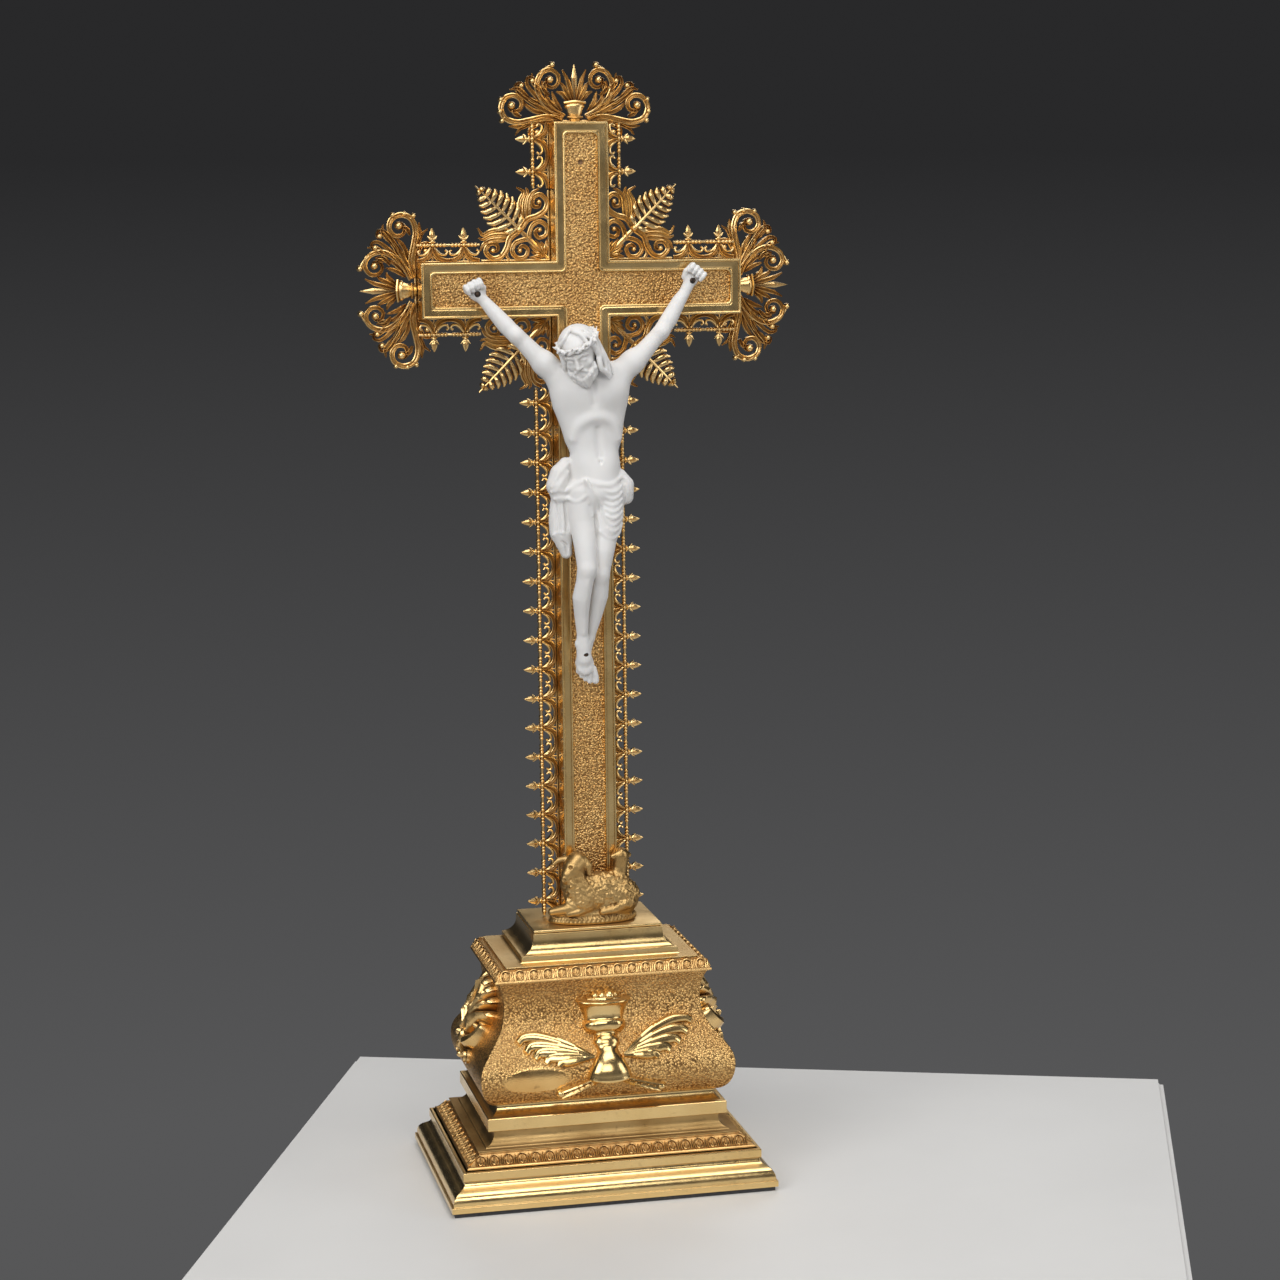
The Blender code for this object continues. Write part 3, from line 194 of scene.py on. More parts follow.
# %% A bench for finishes
class Finish:
    """A material under construction, with short ways to add and join its nodes."""

    def __init__(self, name, **sockets):
        self.material = bpy.data.materials.new(name)
        self.material.use_nodes = True
        self.tree = self.material.node_tree
        self.shader = self.tree.nodes["Principled BSDF"]
        for socket, value in sockets.items():
            self.shader.inputs[socket.replace("_", " ")].default_value = value
        self.place = self.tree.nodes.new("ShaderNodeTexCoord").outputs["Object"]

    def join(self, source, target):
        self.tree.links.new(source, target)

    def noise(self, scale, detail=3.0, stretch=None):
        node = self.tree.nodes.new("ShaderNodeTexNoise")
        node.inputs["Scale"].default_value = scale
        node.inputs["Detail"].default_value = detail
        source = self.place
        if stretch:
            mapping = self.tree.nodes.new("ShaderNodeMapping")
            mapping.inputs["Scale"].default_value = stretch
            self.join(source, mapping.inputs["Vector"])
            source = mapping.outputs[0]
        self.join(source, node.inputs["Vector"])
        return node.outputs["Fac"]

    def cells(self, scale, feature="F1"):
        node = self.tree.nodes.new("ShaderNodeTexVoronoi")
        node.feature = feature
        node.inputs["Scale"].default_value = scale
        self.join(self.place, node.inputs["Vector"])
        return node.outputs["Distance"]

    def hollows(self, reach):
        """1 in the open and 0 deep in a recess of the piece itself."""
        node = self.tree.nodes.new("ShaderNodeAmbientOcclusion")
        node.samples = 6
        node.only_local = True
        node.inputs["Distance"].default_value = reach * MM
        return node.outputs["AO"]

    def edges(self):
        """Above 0.5 on ridges and below it in creases."""
        return self.tree.nodes.new("ShaderNodeNewGeometry").outputs["Pointiness"]

    def facing_up(self):
        """1 on a level ledge, 0 on an upright face."""
        node = self.tree.nodes.new("ShaderNodeSeparateXYZ")
        self.join(self.tree.nodes.new("ShaderNodeNewGeometry").outputs["Normal"], node.inputs[0])
        return node.outputs["Z"]

    def marked(self, name):
        """A value painted on the mesh itself, 0 on a mesh that has none."""
        node = self.tree.nodes.new("ShaderNodeAttribute")
        node.attribute_name = name
        return node.outputs["Fac"]

    def ramp(self, source, *stops):
        node = self.tree.nodes.new("ShaderNodeValToRGB")
        band = node.color_ramp
        while len(band.elements) < len(stops):
            band.elements.new(0.5)
        for element, (place, colour) in zip(band.elements, stops):
            element.position = place
            element.color = (*colour, 1.0) if len(colour) == 3 else colour
        self.join(source, node.inputs["Fac"])
        return node.outputs["Color"]

    def scaled(self, source, low, high, out_low, out_high):
        node = self.tree.nodes.new("ShaderNodeMapRange")
        for index, value in enumerate((low, high, out_low, out_high), 1):
            node.inputs[index].default_value = value
        self.join(source, node.inputs[0])
        return node.outputs[0]

    def mix(self, fac, first, second, blend="MIX"):
        node = self.tree.nodes.new("ShaderNodeMix")
        node.data_type = "RGBA"
        node.blend_type = blend
        sockets = (node.inputs[0], node.inputs[6], node.inputs[7])
        for value, socket in zip((fac, first, second), sockets):
            if isinstance(value, bpy.types.NodeSocket):
                self.join(value, socket)
            else:
                socket.default_value = value if isinstance(value, float) else (*value, 1.0)
        return node.outputs[2]

    def add(self, first, second, operation="ADD"):
        node = self.tree.nodes.new("ShaderNodeMath")
        node.operation = operation
        for value, socket in zip((first, second), node.inputs):
            if isinstance(value, bpy.types.NodeSocket):
                self.join(value, socket)
            else:
                socket.default_value = value
        return node.outputs[0]

    def bump(self, height, strength, depth):
        node = self.tree.nodes.new("ShaderNodeBump")
        node.inputs["Strength"].default_value = strength
        node.inputs["Distance"].default_value = depth * MM
        self.join(height, node.inputs["Height"])
        self.join(node.outputs["Normal"], self.shader.inputs["Normal"])

    def paint(self, colour=None, roughness=None):
        if colour:
            self.join(colour, self.shader.inputs["Base Color"])
        if roughness:
            self.join(roughness, self.shader.inputs["Roughness"])
        return self.material


print("A finish can:", [name for name in vars(Finish) if name[0] != "_"])

# %% [markdown]
# ### Gilt brass
# One brass, five surfaces. The mouldings are polished, with a soft wave from the hand work, a
# haze from cleaning and brown left in the corners. The grounds are stippled with punch marks, with
# painted shade between the grains. The stamped leaf bands and the pierced work keep a reddish
# lacquer in their recesses, where no cloth reaches. The cast finish is the dullest. The recesses
# are found with ambient occlusion, the rubbed ridges with pointiness and the dusty ledges by the
# way they face, so all three follow the model. The rubbed ridges are lightened past the brass
# tone, which is rubbed wear and also a painted highlight.

# %% Mix the brass finishes
def gilt(name, bright, warm, shade, gloss, recess, wave, stipple=0.0):
    """Brass from its bright and warm tones, the shade of its recesses and its gloss range."""
    work = Finish(name, Metallic=1.0)
    tone = work.ramp(work.noise(55.0, 4.0), (0.35, warm), (0.65, bright))
    spots = work.ramp(work.noise(420.0, 5.0), (0.60, (0, 0, 0)), (0.74, (1, 1, 1)))
    tone = work.mix(work.scaled(spots, 0.0, 1.0, 0.0, 0.4), tone, shade)
    kept = work.scaled(work.hollows(recess), 0.35, 0.85, 1.0, 0.0)
    tone = work.mix(kept, tone, shade)
    # Ridges lightened past the brass tone: rubbed wear, and also a painted highlight.
    rubbed_and_highlit_edges = work.scaled(work.edges(), 0.52, 0.60, 0.0, 0.6)
    tone = work.mix(rubbed_and_highlit_edges, tone, tuple(min(1.0, 1.12 * c) for c in bright))
    ledge_dust_and_fold_grey = work.scaled(work.facing_up(), 0.75, 0.98, 0.0, 1.0)
    tone = work.mix(work.scaled(ledge_dust_and_fold_grey, 0.0, 1.0, 0.0, 0.35), tone, shade)
    gloss = work.scaled(work.noise(130.0, 4.0), 0.3, 0.7, *gloss)
    gloss = work.add(gloss, work.scaled(kept, 0.0, 1.0, 0.0, 0.25))
    gloss = work.add(gloss, work.scaled(ledge_dust_and_fold_grey, 0.0, 1.0, 0.0, 0.30))
    fine = work.add(work.noise(2600.0, 2.0),
                    work.scaled(work.noise(60.0, 2.0), 0.0, 1.0, 0.0, wave))
    if stipple:
        tone, gloss, fine = stippled(work, stipple, tone, gloss, fine, shade)
    work.bump(fine, 0.8 if stipple else 0.35, 0.06)
    return work.paint(tone, gloss)


def stippled(work, scale, tone, gloss, fine, shade):
    """Punch marks: painted shade between the grains, which the bump also presses in, and plain brass
    on them, except where the sheet is burnished.
    """
    burnished = work.marked("burnished")
    between = work.add(work.cells(scale), work.scaled(burnished, 0.0, 1.0, 1.0, 0.0), "MULTIPLY")
    # Painted shade: the brass colour darkens between the grains.
    tone = work.mix(work.scaled(between, 0.34, 0.70, 0.0, 0.76), tone, shade)
    gloss = work.add(gloss, work.scaled(burnished, 0.0, 1.0, 0.0, -0.2))
    return tone, gloss, work.add(fine, work.scaled(between, 0.0, 0.6, 6.0, 0.0))


BRASS = {
    "gilt_polished": (
        (0.86, 0.62, 0.28), (0.74, 0.49, 0.19), (0.26, 0.14, 0.055), (0.13, 0.25), 1.6, 5.0),
    "gilt_grained": (
        (0.92, 0.60, 0.24), (0.78, 0.46, 0.16), (0.20, 0.09, 0.03), (0.30, 0.43), 0.9, 2.0, 1150.0),
    "gilt_leaf": (
        (0.84, 0.54, 0.22), (0.66, 0.38, 0.13), (0.17, 0.075, 0.025), (0.24, 0.40), 1.3, 1.5),
    "gilt_pierced": (
        (0.88, 0.62, 0.28), (0.74, 0.47, 0.18), (0.17, 0.07, 0.025), (0.18, 0.32), 1.8, 1.5),
    "gilt_cast": (
        (0.62, 0.41, 0.17), (0.46, 0.28, 0.10), (0.15, 0.075, 0.03), (0.34, 0.50), 2.6, 2.0),
}
FINISHES = {name: gilt(name, *values) for name, values in BRASS.items()}
print("Brass finishes:", list(FINISHES))

# %% [markdown]
# ### Biscuit, iron, baize and wood
# Biscuit is unglazed porcelain: matt, white and a little translucent, with grey in the folds.
# The nails are blackened iron. The black baize under the foot is a painted shadow: a dark felted
# sheet with a soft sheen that gives the dark line along the foot. The hidden blocks are plain sawn
# wood.

# %% Mix the other finishes
def biscuit():
    work = Finish("biscuit", Subsurface_Weight=0.12, Subsurface_Scale=0.002,
                  Specular_IOR_Level=0.35)
    work.shader.inputs["Subsurface Radius"].default_value = (1.0, 0.8, 0.6)
    clean = work.ramp(work.noise(70.0, 3.0), (0.3, (0.78, 0.765, 0.745)),
                      (0.7, (0.83, 0.82, 0.805)))
    # Greyer where ambient occlusion finds folds and hollows.
    ledge_dust_and_fold_grey = work.scaled(work.hollows(2.2), 0.25, 0.85, 0.75, 0.0)
    colour = work.mix(ledge_dust_and_fold_grey, clean, (0.56, 0.53, 0.49))
    work.bump(work.noise(3200.0, 2.0), 0.25, 0.03)
    return work.paint(colour, work.scaled(work.noise(240.0, 3.0), 0.3, 0.7, 0.55, 0.72))


def dark_iron():
    work = Finish("dark_iron", Metallic=0.8)
    rust = work.ramp(work.noise(700.0, 5.0), (0.42, (0.035, 0.032, 0.03)),
                     (0.70, (0.13, 0.075, 0.045)))
    work.bump(work.noise(1500.0, 3.0), 0.5, 0.06)
    return work.paint(rust, work.scaled(work.noise(500.0, 3.0), 0.3, 0.7, 0.35, 0.62))


def black_baize():
    work = Finish("black_baize", Sheen_Weight=0.4, Sheen_Roughness=0.5)
    # Painted shadow: the black baize gives the dark line where the foot meets the table.
    painted_shadow_felt = work.ramp(work.noise(900.0, 6.0), (0.3, (0.018, 0.018, 0.02)),
                     (0.7, (0.05, 0.05, 0.054)))
    work.bump(work.add(work.noise(2400.0, 4.0), work.cells(1400.0)), 0.7, 0.25)
    return work.paint(painted_shadow_felt, work.scaled(work.noise(600.0, 2.0), 0.3, 0.7, 0.86, 0.98))


def core_wood():
    work = Finish("core_wood")
    grain = work.noise(60.0, 6.0, (6.0, 6.0, 0.6))
    colour = work.ramp(grain, (0.35, (0.20, 0.12, 0.065)), (0.65, (0.42, 0.28, 0.165)))
    work.bump(grain, 0.4, 0.2)
    return work.paint(colour, work.scaled(grain, 0.3, 0.7, 0.6, 0.78))


FINISHES |= {
    "biscuit": biscuit(),
    "dark_iron": dark_iron(),
    "black_baize": black_baize(),
    "core_wood": core_wood(),
}
for subpart in frame["record"]["subparts"]:
    slots = frame["nodes"][subpart["node"]].material_slots
    for slot in slots:
        slot.material = FINISHES[subpart["material_slot"]]
print("Finishes:", sorted(FINISHES))

# %% [markdown]
# ## Table
# A plain pale table top carries the cross. It is a small slab with an eased edge, turned a little,
# that ends cleanly against the dark room. Its front is what the upright brass faces reflect.

# %% Lay the table top
TABLE_SIDE = 0.39
TABLE_THICK = 0.03
TABLE_MIDDLE = (0.037, -0.058)
TABLE_TURN = math.radians(-20.5)


def add_table():
    bm = bmesh.new()
    bmesh.ops.create_cube(bm, size=1.0)
    bmesh.ops.scale(bm, vec=(TABLE_SIDE, TABLE_SIDE, TABLE_THICK), verts=bm.verts)
    bmesh.ops.translate(bm, vec=(0, 0, -TABLE_THICK / 2), verts=bm.verts)
    bmesh.ops.bevel(bm, geom=bm.edges, offset=0.0025, segments=3, affect="EDGES")
    bmesh.ops.rotate(bm, cent=(0, 0, 0), matrix=Matrix.Rotation(TABLE_TURN, 3, "Z"), verts=bm.verts)
    bmesh.ops.translate(bm, vec=(*TABLE_MIDDLE, 0), verts=bm.verts)
    mesh = bpy.data.meshes.new("table_top")
    bm.to_mesh(mesh)
    bm.free()
    table = bpy.data.objects.new("table_top", mesh)
    bpy.context.scene.collection.objects.link(table)
    work = Finish("table_top_paint", Specular_IOR_Level=0.3)
    colour = work.ramp(work.noise(8.0, 4.0), (0.3, (0.73, 0.72, 0.70)), (0.7, (0.77, 0.76, 0.74)))
    work.bump(work.noise(900.0, 2.0), 0.1, 0.1)
    mesh.materials.append(work.paint(colour, work.scaled(work.noise(30.0), 0.3, 0.7, 0.45, 0.6)))
    return table


add_table()
print("Table top side in m:", TABLE_SIDE)

# %% [markdown]
# ## Setting a piece
# Every dressed piece takes the place of one CAD node. This helper turns points and faces into an
# object, makes the faces look outward, shades it smooth with crisp edges, hangs it on the root
# body and hides the CAD node it replaces. A small bevel can ease the edges, as polishing does on
# brass.

# %% A helper that sets a piece
def add_piece(node, verts, faces, finish, ease=0.0, sharp=38.0, coat=None):
    """A dressed piece in place of one CAD node, in millimetres. A coat is a variant of its finish."""
    mesh = bpy.data.meshes.new(node + "_dressed")
    mesh.from_pydata(np.asarray(verts, float) * MM, [], [tuple(map(int, face)) for face in faces])
    bm = bmesh.new()
    bm.from_mesh(mesh)
    bmesh.ops.recalc_face_normals(bm, faces=bm.faces)
    bm.to_mesh(mesh)
    bm.free()
    mesh.shade_smooth()
    mesh.materials.append(FINISHES[coat or finish])
    piece = bpy.data.objects.new(mesh.name, mesh)
    bpy.context.scene.collection.objects.link(piece)
    if ease:
        bevel = piece.modifiers.new("eased_edges", "BEVEL")
        bevel.width = ease * MM
        bevel.segments = 3
        bevel.limit_method = "ANGLE"
        bevel.angle_limit = math.radians(sharp)
        bevel.harden_normals = True
    else:
        mesh.set_sharp_from_angle(angle=math.radians(sharp))
    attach(piece, "root")
    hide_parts(node)
    print(f"{piece.name}: {len(mesh.polygons)} faces")
    return piece


# %% [markdown]
# ## Mouldings of the base
# The base is a stack of brass mouldings with mitred corners. A moulding could be a curve with a
# bevel object, but its corners would need care. Here a section is drawn as a few bends, and each
# of its points becomes a rectangle round the base, so every corner is a true mitre.

# %% Bends and mitred sections
SHEET = 0.8


def bend(a, b, c, d, count=9):
    """Points along a cubic bend from a to d, pulled by b and c."""
    t = np.linspace(0.0, 1.0, count)[:, None]
    a, b, c, d = map(np.array, (a, b, c, d))
    return a * (1 - t) ** 3 + 3 * b * t * (1 - t) ** 2 + 3 * c * t * t * (1 - t) + d * t ** 3


def mitred(outer, section, run=(1.0, 1.0), thick=SHEET):
    """A sheet of brass bent round a rectangle. A section point is (how far in, how high), where in
    counts in the run: millimetres by default, or shares of a run that differs at side and front."""
    section = np.vstack(section)
    rings = [(*(np.array(outer) - np.array(run) * inward), z) for inward, z in section]
    rings += [(x - thick, y - thick, z) for x, y, z in rings[::-1]]
    corners = ((-1, -1), (1, -1), (1, 1), (-1, 1))
    verts = [(x * cx, y * cy, z) for x, y, z in rings for cx, cy in corners]
    faces = []
    for i in range(len(rings)):
        j = (i + 1) % len(rings)
        for k in range(4):
            m = (k + 1) % 4
            faces.append((4 * i + k, 4 * i + m, 4 * j + m, 4 * j + k))
    return verts, faces


print("Sheet in mm:", SHEET)

# %% [markdown]
# ### Plinth, hollow and sill
# From the table up: a square fillet, a full ogee that catches the brightest light, a dark groove
# and a narrow fascia. Above the leaf band a round swells into a hollow, which takes the cast brass
# of the lamb: duller, and darker as painted shade. The casket stands on a square bright sill with
# its own hollow above.

# %% Make the plinth, the hollow and the sill
def add_plinth():
    low, high = span("plinth_moulding")
    z = low[2]
    top = high[2]
    section = [
        [(0.9, z), (0.0, z), (0.0, z + 2.5), (0.8, z + 2.6)],
        bend((0.8, z + 2.9), (0.7, z + 6.2), (2.6, z + 7.4), (4.3, z + 8.3)),
        bend((4.3, z + 8.3), (5.4, z + 8.9), (6.5, z + 9.5), (6.6, z + 11.2)),
        [(5.8, z + 11.5), (5.8, top - 0.3), (6.1, top), (8.8, top)],
    ]
    add_piece("plinth_moulding", *mitred(high[:2], section), "gilt_polished", ease=0.22)


def add_hollow():
    low, high = span("plinth_cove")
    z = low[2]
    top = high[2]
    section = [
        [(0.0, z), (0.0, z + 0.3), (0.08, z + 0.45), (0.44, z + 0.5), (0.46, z + 0.75)],
        bend((0.48, z + 0.9), (0.60, z + 1.1), (0.93, z + 2.4), (0.96, z + 5.2), 12),
        [(0.96, top)],
    ]
    run = (8.1, 5.8)
    # The hollow takes the darker cast brass: its darker colour is painted shade.
    add_piece("plinth_cove", *mitred(high[:2], section, run), "gilt_polished", ease=0.12,
              coat="gilt_cast")


def add_sill():
    low, high = span("sill_moulding")
    z = low[2]
    top = high[2]
    section = [
        [(4.0, z), (0.25, z), (0.0, z + 0.25), (0.0, z + 5.2), (0.3, z + 5.5), (1.0, z + 5.5)],
        bend((1.0, z + 5.5), (2.6, z + 5.8), (4.4, z + 7.2), (4.8, top - 0.8), 10),
        [(4.8, top)],
    ]
    add_piece("sill_moulding", *mitred(high[:2], section), "gilt_polished", ease=0.12)


add_plinth()
add_hollow()
add_sill()

# %% [markdown]
# ### Cap
# The cap is a hollow that sweeps from a broad fillet up to a small square plate, where the cross
# stands. Its foot mirrors the lamps and its neck mirrors the dark room.

# %% Make the cap and its plate
def add_cap():
    low, high = span("cap_moulding")
    z = low[2]
    top = high[2]
    plate = span("cap_plate")[1][:2]
    outer = high[:2] + np.array((2.7, 1.6))
    ledge = np.array((7.6, 4.5))
    neck = outer - plate
    start = ledge / neck
    s = float(start.mean())
    section = [
        [(0.0, z), (0.0, z + 0.5), (s * 0.9, z + 0.9), (s, z + 1.4), (s, z + 3.6),
         (s + 0.05, z + 3.8)],
        bend((s + 0.05, z + 3.8), (s + 0.2, z + 4.3), (0.97, z + 6.2), (0.98, top - 2.2), 12),
        [(0.98, top)],
    ]
    add_piece("cap_moulding", *mitred(outer, section, neck), "gilt_polished", ease=0.12)


def add_cap_plate():
    low, high = span("cap_plate")
    section = [
        [(6.0, low[2]), (0.3, low[2])],
        bend((0.3, low[2]), (-0.05, low[2] + 0.2), (-0.05, high[2] - 0.2), (0.3, high[2]), 7),
    ]
    rings = np.vstack(section)
    verts = [(s * (high[0] - i), t * (high[1] - i), z) for i, z in rings
             for s, t in ((-1, -1), (1, -1), (1, 1), (-1, 1))]
    faces = [(4 * i + k, 4 * i + (k + 1) % 4, 4 * i + 4 + (k + 1) % 4, 4 * i + 4 + k)
             for i in range(len(rings) - 1) for k in range(4)]
    faces += [(3, 2, 1, 0), tuple(range(len(verts) - 4, len(verts)))]
    add_piece("cap_plate", verts, faces, "gilt_polished", sharp=50.0)


add_cap()
add_cap_plate()

# %% [markdown]
# ## Raised strokes
# The leaves, scrolls and galleries are all drawn the way a chaser draws them: as strokes that
# swell and thin, with a round, hollow or veined back. A curve with a bevel would give one round
# section only, so a stroke here carries its own small section along a smooth path through a few
# points. A relief collects strokes and buds on a flat sheet, and is then laid on its surface. Two
# flat backs in one plane would flicker, so each stroke lies a hair deeper than the last.

# %% A relief of strokes and buds
ROUND = ((-1.0, 0.0), (-0.94, 0.5), (-0.62, 0.86), (0.0, 1.0), (0.62, 0.86), (0.94, 0.5),
         (1.0, 0.0))
HOLLOW = ((-1.0, 0.0), (-0.96, 0.85), (-0.72, 1.0), (-0.38, 0.6), (0.0, 0.45),
          (0.38, 0.6), (0.72, 1.0), (0.96, 0.85), (1.0, 0.0))
VEINED = ((-1.0, 0.0), (-0.9, 0.5), (-0.3, 0.62), (-0.1, 0.95), (0.1, 0.95), (0.3, 0.62),
          (0.9, 0.5), (1.0, 0.0))


def through(points, gap=0.45):
    """A smooth path through points, sampled about every gap millimetres."""
    p = np.asarray(points, float)
    p = np.vstack((2 * p[0] - p[1], p, 2 * p[-1] - p[-2]))
    path = []
    for a, b, c, d in zip(p, p[1:], p[2:], p[3:]):
        t = np.linspace(0, 1, max(2, int(np.linalg.norm(c - b) / gap)), endpoint=False)[:, None]
        path.append(0.5 * (2 * b + (c - a) * t + (2 * a - 5 * b + 4 * c - d) * t ** 2
                           + (3 * b - a - 3 * c + d) * t ** 3))
    return np.vstack((*path, p[-2]))


class Relief:
    """Strokes and buds on a sheet: u along it, v across it and w out of it, in millimetres."""

    def __init__(self):
        self.verts = np.zeros((0, 3))
        self.faces = []
        self.layer = 0

    def deeper(self, back):
        """A back a hair deeper than the last one, so that no two flat backs share a plane."""
        self.layer = (self.layer + 7) % 23
        return back + 0.014 * self.layer

    def put(self, verts, faces):
        base = len(self.verts)
        self.verts = np.vstack((self.verts, verts))
        self.faces += [tuple(base + i for i in face) for face in faces]

    def stroke(self, points, half, rise, section=ROUND, back=0.45, gap=0.45):
        """A stroke through points. Half width and rise are numbers, or lists spread along it."""
        path = through(points, gap)
        t = np.linspace(0, 1, len(path))
        half = np.interp(t, np.linspace(0, 1, np.size(half)), np.ravel(half))[:, None]
        rise = np.interp(t, np.linspace(0, 1, np.size(rise)), np.ravel(rise))[:, None]
        along = np.gradient(path, axis=0)
        along /= np.linalg.norm(along, axis=1)[:, None] + 1e-9
        left = np.stack((-along[:, 1], along[:, 0]), axis=1)
        side = np.array([o for o, _ in section] + [1.0, -1.0])
        lift = np.array([h for _, h in section] + [0.0, 0.0])
        spot = path[:, None, :] + left[:, None, :] * (half * side)[:, :, None]
        high = rise * lift
        high[:, -2:] = -self.deeper(back)
        verts = np.concatenate((spot, high[:, :, None]), axis=2)
        n, m = verts.shape[:2]
        faces = [(i * m + k, (i + 1) * m + k, (i + 1) * m + (k + 1) % m, i * m + (k + 1) % m)
                 for i in range(n - 1) for k in range(m)]
        faces += [tuple(range(m)), tuple((n - 1) * m + k for k in reversed(range(m)))]
        self.put(verts.reshape(-1, 3), faces)

    def bud(self, u, v, r, rise, back=0.45, sides=12, long=1.0, turn=0.0):
        """A round or oval bud with a domed face."""
        around = np.linspace(0, 2 * math.pi, sides, endpoint=False)
        shape = [(1.0, -self.deeper(back))] + [(math.cos(a), rise * math.sin(a))
                                               for a in np.linspace(0, 1.35, 5)]
        c, s = math.cos(turn), math.sin(turn)
        verts = []
        for share, w in shape:
            for a in around:
                x, y = r * share * math.cos(a) * long, r * share * math.sin(a)
                verts.append((u + c * x - s * y, v + s * x + c * y, w))
        n = len(shape)
        faces = [(i * sides + k, i * sides + (k + 1) % sides, (i + 1) * sides + (k + 1) % sides,
                  (i + 1) * sides + k) for i in range(n - 1) for k in range(sides)]
        faces += [tuple(reversed(range(sides))), tuple((n - 1) * sides + k for k in range(sides))]
        self.put(np.array(verts), faces)

    def copy_of(self, other, du=0.0, dv=0.0, flip=1.0):
        self.put(other.verts * (flip, 1.0, 1.0) + (du, dv, 0.0), other.faces)

    def both(self, draw):
        """Draw the same thing on the right and, mirrored, on the left."""
        half = Relief()
        draw(half)
        self.copy_of(half)
        self.copy_of(half, flip=-1.0)


print("A relief can:", [name for name in vars(Relief) if name[0] != "_"])

# %% [markdown]
# ### Leaf bands
# A band of upright leaves runs round the ledge of the plinth and round the cornice. Each leaf is
# an arch with a bud inside and a dart beside it. One leaf is drawn once and repeated along every
# side, and the sheet behind it is a mitred moulding like the others.

# %% Make the leaf bands
LEAF_PITCH = 5.9


def leaf_unit(high):
    """One leaf of a band: an arch, a bud in it, two small leaves and a dart."""
    unit = Relief()
    unit.stroke([(-2.0, 0.25), (-2.15, high * 0.45), (-1.5, high * 0.85), (0.0, high),
                 (1.5, high * 0.85), (2.15, high * 0.45), (2.0, 0.25)], 0.36, 0.75, gap=0.6)
    unit.stroke([(0.0, high * 0.82), (0.0, high * 0.45), (0.0, 0.4)], (0.35, 0.75, 0.25), 1.1,
                VEINED, gap=0.6)
    for side in (-1, 1):
        unit.stroke([(0.25 * side, 0.45), (1.0 * side, 0.9), (1.35 * side, high * 0.5)],
                    (0.3, 0.42, 0.12), 0.8, gap=0.6)
    unit.stroke([(LEAF_PITCH / 2, high * 0.95), (LEAF_PITCH / 2, high * 0.5),
                 (LEAF_PITCH / 2, 0.3)],
                (0.12, 0.34, 0.15), 0.6, gap=0.8)
    return unit


def banded(verts, faces, outer, inner, z_low, z_high, leaf_high):
    """Lay leaves along the four sides of a slope from outer, below, to inner, above."""
    verts = [tuple(v) for v in verts]
    faces = list(faces)
    unit = leaf_unit(leaf_high)
    for axis, sign in ((0, -1), (0, 1), (1, -1), (1, 1)):
        cross = 1 - axis
        run = outer[cross] - inner[cross]
        rise = z_high - z_low
        slope = math.hypot(run, rise)
        reach = (outer[axis] + inner[axis]) / 2
        count = round(2 * reach / LEAF_PITCH)
        band = Relief()
        for k in range(count):
            band.copy_of(unit, du=(k + 0.5) * 2 * reach / count - reach)
        u, v, w = band.verts.T
        spot = np.zeros((len(u), 3))
        spot[:, axis] = u
        spot[:, cross] = sign * (outer[cross] - v / slope * run + w * rise / slope)
        spot[:, 2] = z_low + v / slope * rise + w * run / slope
        faces += [tuple(len(verts) + i for i in face) for face in band.faces]
        verts += [tuple(p) for p in spot]
    return verts, faces


def add_plinth_leaves():
    low, high = span("plinth_leaf_band")
    z, top = low[2], high[2]
    inner = high[:2] - 6.8
    section = [[(0.0, z), (0.0, z + 0.5), (0.5, z + 0.9)],
               bend((0.6, z + 0.9), (2.0, z + 1.6), (4.2, z + 3.2), (6.0, top - 0.7), 8),
               [(6.0, top), (6.8, top)]]
    sheet = mitred(high[:2], section)
    leaves = banded(*sheet, high[:2] - 0.7, inner + 0.9, z + 0.8, top - 0.9, 5.6)
    add_piece("plinth_leaf_band", *leaves, "gilt_grained", coat="gilt_leaf")


def add_cornice_leaves():
    low, high = span("cornice_leaf_band")
    z, top = low[2], high[2]
    run = np.array((7.6, 4.5))
    section = [[(0.25, z), (0.0, z), (-0.04, z + 0.5), (0.0, z + 1.0), (0.05, z + 1.0)],
               bend((0.05, z + 1.0), (0.16, z + 3.2), (0.42, top - 0.6), (0.62, top - 0.4), 8),
               [(0.62, top), (1.0, top)]]
    sheet = mitred(high[:2], section, run)
    outer, inner = high[:2] - run * 0.03, high[:2] - run * 0.34
    leaves = banded(*sheet, outer, inner, z + 0.9, top - 0.9, 4.3)
    add_piece("cornice_leaf_band", *leaves, "gilt_grained", coat="gilt_leaf")


add_plinth_leaves()
add_cornice_leaves()

# %% [markdown]
# ## Casket
# Four sheets meet at mitred corners. They swell low down, draw in to a waist and flare again to
# the cornice. The stipple on them is real here: a fine grid of points is pushed in and out by
# rounded grains, because at this scale a bump alone looks printed.

# %% Shape of the casket and its grains
casket_low, casket_high = span("casket_front")
CASKET_BULGE = np.array((casket_high[0], -casket_low[1]))
z_foot, z_top = casket_low[2], casket_high[2]
z_bulge, z_waist = z_foot + 12.5, z_foot + 40.0
CASKET_SIDE = np.vstack((
    bend((8.3, z_foot), (3.2, z_foot + 0.3), (0.0, z_foot + 5.6), (0.0, z_bulge), 24),
    bend((0.0, z_bulge), (0.0, z_bulge + 10.5), (12.3, z_bulge + 12.4), (12.3, z_waist), 40)[1:],
    bend((12.3, z_waist), (12.3, z_waist + 5.0), (10.9, z_waist + 8.8), (9.5, z_top), 16)[1:],
))


